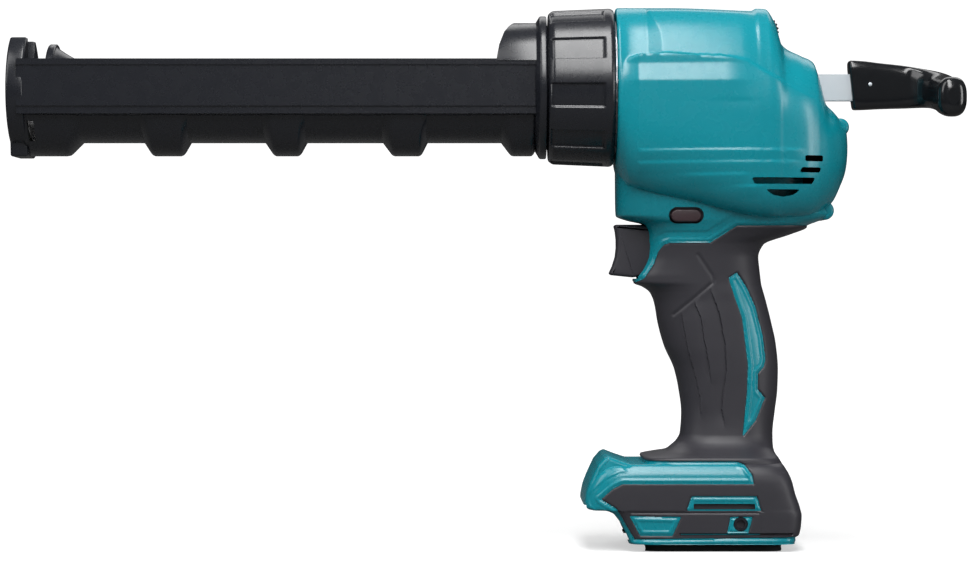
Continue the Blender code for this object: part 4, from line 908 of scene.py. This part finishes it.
def paint_plinth_shadow(mesh):
    """The plinth under the foot's rim takes the second material, a painted shadow under the rim."""
    centres = np.empty(3 * len(mesh.polygons))
    mesh.polygons.foreach_get("center", centres)
    used = np.empty(len(mesh.polygons), int)
    mesh.polygons.foreach_get("material_index", used)
    mesh.polygons.foreach_set("material_index", np.where(centres[2::3] < PLINTH_TOP, 1, used))


def build_foot():
    """The foot, as a shell and a cover over one surface like the grip's, and the lip at its front."""
    points = foot_points()
    normal = outward(points)
    x, z = points[..., 0], points[..., 2]
    shell_push, cover_push = cover_steps(cover_distance(x, z))
    pushed = np.ones((len(points), 1))
    pushed[-FOOT_RINGS:] = 0  # the underside stays flat
    rows = points + normal * (shell_push * pushed)[..., None]
    shell = piece("foot_shell", rows, [MATERIALS["shell"], MATERIALS["cavity"]], sharp=50)
    holes = []
    for side in (-1, 1):
        holes.append(cutter(prism(rounded(FOOT_SLOT, 0.6, 4), *sorted((side * 36.2, side * 50)))))
        holes.append(cutter(prism(circle(HOOK, 3.5, 40), *sorted((side * 34, side * 50)))))
    carve(shell, recess_cutters() + holes + well_cutters((6, 7)), 40)
    paint_plinth_shadow(shell.data)
    finish(shell, "housing", "teal_shell")
    push = (cover_push + foot_relief(x, z, normal[..., 1])) * pushed
    rows = points + normal * push[..., None]
    cover = piece("foot_cover", rows, [MATERIALS["cover"], MATERIALS["cavity"]], sharp=50)
    carve(cover, recess_cutters(0.4) + well_cutters((6, 7)), 40)
    paint_plinth_shadow(cover.data)
    finish(cover, "housing", "soft_cover")
    lip = piece("foot_lip", slab(rounded(NOSE, 1.6, 6), -34, 34, 2.0), [MATERIALS["shell"]], sharp=40)
    finish(lip, "housing", "teal_shell")


# ---- Holder, ring nut and rod ---------------------------------------------------------------------


def trough_outline():
    """Section of the half pipe, as (y, z): an inner arc, rimmed walls, and side bands over a round belly."""
    inner, outer, band = 25.6, 27.4, 29.0
    turn = np.radians(np.linspace(0, -180, 61))
    inside = np.stack([inner * np.cos(turn), inner * np.sin(turn)], axis=1)
    low = math.degrees(math.asin(15 / outer))
    turn = np.radians(np.linspace(-180 + low, -low, 45))
    belly = np.stack([outer * np.cos(turn), outer * np.sin(turn)], axis=1)
    right = [(band + 0.5, 12.4), (inner, 12.4)]
    left = [
        (-inner, 12.4), (-band - 0.5, 12.4), (-band - 0.5, 9.6), (-band, 8.9), (-band, -10.4),
        (-band + 0.7, -11.2), (-band + 0.7, -14.2),
    ]
    back = [(band - 0.7, -14.2), (band - 0.7, -11.2), (band, -10.4), (band, 8.9), (band + 0.5, 9.6)]
    return np.concatenate([right, inside, left, belly, back])


def build_trough():
    """The half pipe, with a slit through it near the end wall."""
    outline = trough_outline()
    x = np.linspace(-291.5, -37.4, 120)
    rows = np.stack([prism(outline, at, at, "YZ")[0] for at in x])
    obj = piece("holder_trough", rows, [MATERIALS["black"], MATERIALS["black"]], sharp=28)
    carve(obj, [cutter(prism(WINDOW, -40, 40))], 28)
    return finish(obj, "holder", "black_plastic", "cartridge_holder")


def cap_outline():
    """The end wall, as (y, z): round, with an open slot for the nozzle and a flat foot."""
    turn = np.radians(np.linspace(62, -62, 40))
    side = np.stack([29.5 * np.cos(turn), -2 + 29.5 * np.sin(turn)], axis=1)
    right = np.concatenate([[(12.0, 24.0), (13, 24.0)], side, [(13, -34.5)]])
    left = right[::-1] * (-1, 1)
    turn = np.radians(np.linspace(180, 360, 33))
    slot = np.stack([12 * np.cos(turn), 12 * np.sin(turn)], axis=1)
    return np.concatenate([right[1:], left[:-1], [(-12, 24)], slot, [(12, 24)]])


def hoop_points(corners):
    """A rib round the belly: half ellipses whose depth follows a trapezoid along x, round an inner arc."""
    x = np.unique(np.concatenate([np.linspace(a, b, 14) for a, b in zip(corners, corners[1:])]))
    depth = np.interp(x, corners, (-0.6, 6.5, 6.5, -0.6))
    soft = np.interp(x[:, None] + np.linspace(-1, 1, 5), corners, (-0.6, 6.5, 6.5, -0.6)).mean(axis=1)
    depth = np.minimum(depth, soft)[:, None]
    turn = np.radians(np.linspace(-172, -8, 80))
    outer = np.stack([27.3 * np.cos(turn) + 0 * depth, (27.4 + depth) * np.sin(turn)], axis=2)
    inner = np.stack([26.3 * np.cos(turn[::-1]) + 0 * depth, 26.3 * np.sin(turn[::-1]) + 0 * depth], axis=2)
    rings = np.concatenate([outer, inner], axis=1)
    return np.concatenate([np.repeat(x[:, None, None], rings.shape[1], axis=1), rings], axis=2)


def build_holder_ends():
    """The end wall, the ribs round the belly, and the hood and neck at the rear."""
    rows = slab(rounded(cap_outline(), 1.2, 4), -296.8, -288.2, 1.3, "YZ")
    finish(piece("holder_end_wall", rows, [MATERIALS["black"]], sharp=40), "holder", "black_plastic")
    for k, corners in enumerate(HOOPS, 1):
        rows = hoop_points(corners)
        rib = piece(f"holder_rib_{k}", rows, [MATERIALS["black"], MATERIALS["cavity"]], sharp=40)
        if k == 1:
            carve(rib, [cutter(prism(WINDOW, -30, 30))], 40)
        finish(rib, "holder", "black_plastic")
    build_hood()
    build_neck()


def build_hood():
    """The hood: a ring wall whose front edge slopes back as it rises, open below the trough's rim."""
    count = 240
    turn = np.linspace(0, 2 * np.pi, count, endpoint=False)
    inner, outer = 27.0, 32.0
    height = outer * np.sin(turn)
    front = np.interp(height, (12, 20.2, 26.9, 30, 32), (-58.4, -57, -54.7, -52.4, -50.4))
    rear = np.full(count, -36.4)
    profile = (
        (rear, inner), (front, inner), (front, 27.8), (front, 31.0), (front + 0.3, 31.7), (front + 1.0, outer),
        (rear - 0.6, outer), (rear, outer - 0.6),
    )
    rows = np.array([np.stack([at, r * np.cos(turn), r * np.sin(turn)], axis=1) for at, r in profile])
    hood = piece("holder_hood", rows, [MATERIALS["black"]] * 2, wrap=True, sharp=40)
    carve(hood, [cutter(prism(((-70, 11.6), (-70, -40), (-37, -40), (-37, 11.6)), -45, 45))], 40)
    finish(hood, "holder", "black_plastic")


def build_neck():
    """The holder's turned neck and flange, which go into the ring nut."""
    profile = (
        (-39.4, 26.8), (-39.4, 31.2), (-37.0, 35.3), (-33.7, 35.3), (-33.7, 30.6), (-28, 30.6), (-28, 32.5),
        (-24, 32.5), (-24, 26.8),
    )
    rows = revolved(soft_profile(profile, 0.8), count=200)
    finish(piece("holder_neck", rows, [MATERIALS["black"]], wrap=True, sharp=30), "holder", "black_plastic")


def build_collar():
    """The ring nut: a turned wall, sunk by the product of a window round it and a window along it."""
    outside = (
        (-32.9, 31.2), (-32.9, 36.2), (-30.6, 37.9), (-28.6, 38.0), (-2.2, 39.1), (-0.5, 38.0), (-0.5, 33.6),
    )
    outside = soft_profile(outside, 1.1, 8)
    fill = []
    for a, b in zip(outside, outside[1:]):
        steps = max(1, int(np.linalg.norm(b - a) / 0.5))
        fill.extend(a + (b - a) * k / steps for k in range(steps))
    inner = [(-0.5, 33.6), (-28.2, 33.6), (-28.3, 33.5), (-28.3, 31.2)]
    count, panels = 900, 10
    turn = np.linspace(0, 2 * np.pi, count, endpoint=False)
    points = revolved(np.array(fill + inner), count=count)
    radial = np.stack([np.zeros(count), np.cos(turn), np.sin(turn)], axis=1)
    pitch = 360 // panels
    degrees = (np.degrees(turn) + pitch / 4) % pitch - pitch / 2
    x = points[..., 0]
    window = ramp(9.2, 8.0, np.abs(degrees))[None, :] * ramp(-31.8, -31.0, x) * ramp(-5.4, -6.4, x)
    outer = np.linalg.norm(points[..., 1:], axis=2) > 36
    points = points - radial[None] * (sizes().flute_depth / MM * window * outer)[..., None]
    obj = piece("ring_nut", points, [MATERIALS["black"]], wrap=True, sharp=50)
    return finish(obj, "collar", "black_plastic", "collar_nut")


def build_piston():
    """The piston: a disc, then a radius that falls as 20 - 10 t^0.85 to a boss, and the piston's screw."""
    t = np.linspace(0, 1, 24)
    cone = np.stack([-275.2 + 17 * t, 20.0 - 10 * t**0.85], axis=1)
    disc = ((-279.2, 5.6), (-279.2, 20.4), (-278.9, 21.1), (-278.3, 21.5), (-275.6, 21.5), (-275.2, 21.1))
    boss = ((-258.2, 9.9), (-258.2, 7.7), (-268.4, 7.6), (-268.5, 5.6), (-275.2, 5.6))
    rows = revolved(np.concatenate([disc, cone, boss]), count=128)
    obj = piece("piston_disc", rows, [MATERIALS["black"]], wrap=True, sharp=35)
    finish(obj, "rod", "black_plastic", "piston")
    profile = ((-275.4, 0.3), (-275.4, 4.9), (-277.4, 4.9), (-278.4, 4.2), (-278.6, 0.3))
    rows = revolved(soft_profile(profile, 0.4), count=48)
    screw = piece("piston_screw_head", rows, [MATERIALS["bright_steel"], MATERIALS["cavity"]], sharp=35)
    long, half = 2.6, 0.45
    bars = [box_outline((-long, -half), (long, half)), box_outline((-half, -long), (half, long))]
    carve(screw, [cutter(prism(bar, -280, -277.2, "YZ")) for bar in bars], 35)
    finish(screw, "rod", "bright_steel", "piston_screw")


PULL = (  # place along, x, y, z, half width, half height, lean, fullness, shear
    (-0.12, 116.7, 0, 1.0, 4.4, 10.4, 0, 5, 0.1),
    (-0.07, 116.9, 0, 1.0, 5.4, 11.5, 0, 5, 0.1),
    (0, 117.8, 0, 1.2, 6.0, 12.2, 0, 5.5, 0.1),
    (0.5, 123, 0, 1.1, 6.1, 12.0, 0, 6, 0.02),
    (1, 131, 0, 0.8, 6.1, 11.3, 0, 6, 0),
    (2, 143, -0.4, 0.3, 6.1, 10.5, 5, 5, 0),
    (3, 151.5, -3.6, -0.4, 6.5, 9.7, 30, 4, 0),
    (4, 157.4, -9.8, -1.8, 6.8, 9.2, 64, 3, 0),
    (5, 160.2, -19, -3.9, 6.9, 9.1, 86, 2.6, 0),
    (6, 160.6, -31, -6.0, 7.2, 9.4, 90, 2.6, 0),
    (7, 160.6, -41.5, -7.0, 7.2, 9.6, 90, 2.6, 0),
    (7.3, 160.6, -44.8, -7.1, 6.2, 8.6, 90, 2.6, 0),
    (7.45, 160.6, -46.3, -7.1, 4.5, 6.8, 90, 2.4, 0),
    (7.52, 160.6, -46.95, -7.1, 2.3, 3.9, 90, 2.2, 0),
)


def build_handle():
    """The pull: one bar of superellipses carried back over the rod's end and round a bend to the side."""
    count = 128
    along = np.concatenate([np.linspace(-0.12, 0, 7)[:-1], np.linspace(0, 7, 120), np.linspace(7.05, 7.52, 14)])
    x, y, z, wide, tall, lean, full, shear = read_table(PULL, along).T
    rings = superellipse(wide, -tall, tall, 0 * tall, full, full, count)
    lean = np.radians(lean)
    across = np.stack([np.sin(lean), np.cos(lean), 0 * lean], axis=1)
    upward = np.stack([-shear, 0 * shear, 1 + 0 * shear], axis=1)
    middle = np.stack([x, y, z], axis=1)
    points = middle[:, None] + rings[..., :1] * across[:, None] + rings[..., 1:] * upward[:, None]
    pull = piece("pull_bar", end_caps(points, 6), [MATERIALS["pull"], MATERIALS["cavity"]], sharp=50)
    carve(pull, [cutter(prism(box_outline((-3.8, -6.8), (3.8, 6.8)), 100, 126.3, "YZ"))], 50)
    finish(pull, "rod", "black_plastic", "rod_handle")
    profile = soft_profile(((-6.3, 0.1), (-6.3, 1.0), (6.3, 1.0), (6.3, 0.1)), 0.3)
    pin = piece("pull_pin", revolved(profile, (126, 1.4), "Y", 40), [MATERIALS["bright_steel"]], sharp=40)
    finish(pin, "rod", "bright_steel", "handle_pin")


# ---- Controls -------------------------------------------------------------------------------------

TRIGGER = (
    (-0.3, -67.8), (0.5, -71.0), (0.95, -75.0), (1.0, -79.0), (0.5, -83.7), (-1.0, -88.4), (-2.6, -91.9),
    (-1.6, -92.7), (5.1, -93.4), (9, -93.8), (22, -92), (22, -70), (13, -67.8),
)


def build_controls():
    """The trigger, the lock button, and the dial, whose teeth are cut by a squared-off sine of 24 turns."""
    rows = slab(rounded(TRIGGER, 0.9, 6), -8.8, 8.8, 1.6, steps=7)
    finish(piece("trigger_lever", rows, [MATERIALS["cover"]], sharp=40), "trigger", "soft_cover", "trigger")
    rows = slab(capsule(LOCK, 7.4, 3.1), -23.6, 26.4, 0.9, steps=6)
    finish(piece("lock_slider", rows, [MATERIALS["button"]], sharp=40), "lock", "black_plastic", "lock_button")
    count, teeth = 288, 24
    turn = np.linspace(0, 2 * np.pi, count, endpoint=False)
    profile = soft_profile(((-4, 0.3), (-4, 8.0), (4, 8.0), (4, 0.3)), 0.8, 6)
    points = revolved(profile, DIAL, "Y", count)
    wave = np.sin(teeth * turn)
    depth = 0.35 * (1 + np.sign(wave) * np.abs(wave) ** 0.5) * (profile[:, 1:] > 5)
    radial = np.stack([np.cos(turn), np.zeros(count), np.sin(turn)], axis=1)
    points = points - radial[None] * depth[..., None]
    dial = piece("speed_wheel", points, [MATERIALS["satin_black"]], sharp=50)
    finish(dial, "dial", "black_plastic", "speed_dial")


# ---- Stage ----------------------------------------------------------------------------------------

CAMERA_AWAY = 1450 * MM
FRAME_WIDTH = 481.1 * MM
AIM = (-63.4, 0, -96.8)  # middle of the view
LAMPS = (  # name, place from the middle of the view in metres, width and height, radiance
    ("front_softbox", (0.05, -0.62, 0.92), (0.34, 1.45), 11.0),
    ("holder_softbox", (-0.95, -0.62, 0.92), (0.6, 1.3), 3.5),
    ("rear_softbox", (1.35, -0.9, 0.25), (0.35, 1.0), 6.5),
    ("back_softbox", (0.2, 1.3, 1.1), (1.8, 0.7), 1.5),
)


def build_floor():
    """A pale floor that sweeps up behind the gun on a quarter circle."""
    turn = np.radians(np.linspace(-90, 0, 24))
    radius = 1.2
    sweep = np.stack([2.2 + radius * np.cos(turn), radius + radius * np.sin(turn)], axis=1)
    profile = np.concatenate([[(-3.5, 0.0)], sweep, [(2.2 + radius, 5.0)]])
    points = [(x, y, z) for y, z in profile.tolist() for x in (-5.0, 5.0)]
    index = np.arange(len(points)).reshape(-1, 2)
    quads = np.stack([index[:-1, 0], index[:-1, 1], index[1:, 1], index[1:, 0]], axis=1)
    mesh = bpy.data.meshes.new("studio_floor")
    mesh.from_pydata(points, [], quads.tolist())
    mesh.polygons.foreach_set("use_smooth", np.ones(len(quads), bool))
    mesh.materials.append(background_paper())
    floor = bpy.data.objects.new("studio_floor", mesh)
    bpy.context.scene.collection.objects.link(floor)


def background_paper():
    """Seamless paper, matt and nearly white.

    Only the camera sees it lit up: the gun is lit apart from its background, so its undersides stay deep.
    """
    paper, tree, shader = start_material("background_paper", colours().floor, 0.9)
    shader.inputs["Emission Color"].default_value = (1, 1, 1, 1)
    apart = add_node(tree, "SeparateXYZ", links={"Vector": object_space(tree)})
    glow = add_node(
        tree, "MapRange", inputs={"From Min": 0.15, "From Max": 1.2, "To Min": 0.5, "To Max": 1.0},
        links={"Value": apart.outputs["Y"]},
    )
    tree.links.new(glow.outputs["Result"], shader.inputs["Emission Strength"])
    unlit = add_node(tree, "BsdfDiffuse", inputs={"Color": linear("#707070")})
    seen = add_node(tree, "LightPath").outputs["Is Camera Ray"]
    both = add_node(tree, "MixShader", links={0: seen, 1: unlit.outputs["BSDF"], 2: shader.outputs["BSDF"]})
    tree.links.new(both.outputs["Shader"], tree.nodes["Material Output"].inputs["Surface"])
    return paper


def build_lights():
    """Four softboxes turned to the middle of the view, and a dim sky that the camera sees as white."""
    world = bpy.data.worlds.new("studio")
    bpy.context.scene.world = world
    world.use_nodes = True
    tree = world.node_tree
    background = tree.nodes["Background"]
    background.inputs["Color"].default_value = (1, 1, 1, 1)
    seen = add_node(tree, "LightPath").outputs["Is Camera Ray"]
    strength = add_node(tree, "MapRange", inputs={"To Min": 0.14, "To Max": 1.0}, links={"Value": seen})
    tree.links.new(strength.outputs["Result"], background.inputs["Strength"])
    for name, offset, size, radiance in LAMPS:
        light = bpy.data.lights.new(name, "AREA")
        light.shape = "RECTANGLE"
        light.size, light.size_y = size
        light.energy = radiance * math.pi * size[0] * size[1]
        lamp = bpy.data.objects.new(name, light)
        lamp.location = place(AIM) + np.array(offset)
        lamp.rotation_euler = Vector([-v for v in offset]).to_track_quat("-Z", "Y").to_euler()
        lamp.visible_camera = False
        bpy.context.scene.collection.objects.link(lamp)


def build_camera():
    """A level camera straight at the left side."""
    camera = bpy.data.objects.new("camera", bpy.data.cameras.new("camera"))
    camera.location = place(AIM) + np.array([0, -CAMERA_AWAY, 0])
    camera.rotation_euler = (math.pi / 2, 0, 0)
    camera.data.sensor_width = 36
    camera.data.lens = 36 * CAMERA_AWAY / FRAME_WIDTH
    bpy.context.scene.collection.objects.link(camera)
    bpy.context.scene.camera = camera
    bpy.context.scene.view_settings.view_transform = "Standard"


# ---- Operators ------------------------------------------------------------------------------------


class GUN_OT_finishes(bpy.types.Operator):
    """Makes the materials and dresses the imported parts."""

    bl_idname = "gun.finishes"
    bl_label = "Finishes"

    def execute(self, context):
        make_materials()
        dress_packed_parts()
        return {"FINISHED"}


class GUN_OT_barrel(bpy.types.Operator):
    """Builds the barrel with its side panel, ribs and vents."""

    bl_idname = "gun.barrel"
    bl_label = "Barrel"

    def execute(self, context):
        build_barrel()
        return {"FINISHED"}


class GUN_OT_grip(bpy.types.Operator):
    """Builds the grip and its soft cover."""

    bl_idname = "gun.grip"
    bl_label = "Grip"

    def execute(self, context):
        build_grip()
        return {"FINISHED"}


class GUN_OT_foot(bpy.types.Operator):
    """Builds the battery foot and its cover."""

    bl_idname = "gun.foot"
    bl_label = "Foot"

    def execute(self, context):
        build_foot()
        return {"FINISHED"}


class GUN_OT_holder(bpy.types.Operator):
    """Builds the cartridge holder."""

    bl_idname = "gun.holder"
    bl_label = "Holder"

    def execute(self, context):
        build_trough()
        build_holder_ends()
        return {"FINISHED"}


class GUN_OT_ring_nut(bpy.types.Operator):
    """Builds the fluted ring nut."""

    bl_idname = "gun.ring_nut"
    bl_label = "Ring Nut"

    def execute(self, context):
        build_collar()
        return {"FINISHED"}


class GUN_OT_piston(bpy.types.Operator):
    """Builds the piston and its screw."""

    bl_idname = "gun.piston"
    bl_label = "Piston"

    def execute(self, context):
        build_piston()
        return {"FINISHED"}


class GUN_OT_pull(bpy.types.Operator):
    """Builds the pull at the rod's end."""

    bl_idname = "gun.pull"
    bl_label = "Pull"

    def execute(self, context):
        build_handle()
        return {"FINISHED"}


class GUN_OT_controls(bpy.types.Operator):
    """Builds the trigger, the lock button and the speed dial."""

    bl_idname = "gun.controls"
    bl_label = "Controls"

    def execute(self, context):
        build_controls()
        return {"FINISHED"}


class GUN_OT_stage(bpy.types.Operator):
    """Builds the floor, lights and camera."""

    bl_idname = "gun.stage"
    bl_label = "Stage"

    def execute(self, context):
        build_floor()
        build_lights()
        build_camera()
        return {"FINISHED"}


OPERATORS = (
    GUN_OT_finishes, GUN_OT_barrel, GUN_OT_grip, GUN_OT_foot, GUN_OT_holder, GUN_OT_ring_nut, GUN_OT_piston,
    GUN_OT_pull, GUN_OT_controls, GUN_OT_stage,
)


class GUN_PT_panel(bpy.types.Panel):
    """Lists the builders and the settings."""

    bl_label = "Caulking Gun"
    bl_idname = "GUN_PT_panel"
    bl_space_type = "VIEW_3D"
    bl_region_type = "UI"
    bl_category = "Caulking Gun"

    def draw(self, context):
        for group in (context.scene.gun_sizes, context.scene.gun_colours):
            for key in group.__annotations__:
                self.layout.prop(group, key)
        for made in OPERATORS:
            self.layout.operator(made.bl_idname)


CLASSES = (GunSizes, GunColours, *OPERATORS, GUN_PT_panel)


def register():
    """Registers the classes and hangs the settings on the scene."""
    for made in CLASSES:
        bpy.utils.register_class(made)
    bpy.types.Scene.gun_sizes = bpy.props.PointerProperty(type=GunSizes)
    bpy.types.Scene.gun_colours = bpy.props.PointerProperty(type=GunColours)


def unregister():
    """Undoes register()."""
    del bpy.types.Scene.gun_sizes
    del bpy.types.Scene.gun_colours
    for made in reversed(CLASSES):
        bpy.utils.unregister_class(made)


def main():
    """Builds the whole scene by the panel's operators, in order."""
    register()
    for made in OPERATORS:
        group, name = made.bl_idname.split(".")
        getattr(getattr(bpy.ops, group), name)()


if __name__ == "__main__":
    main()
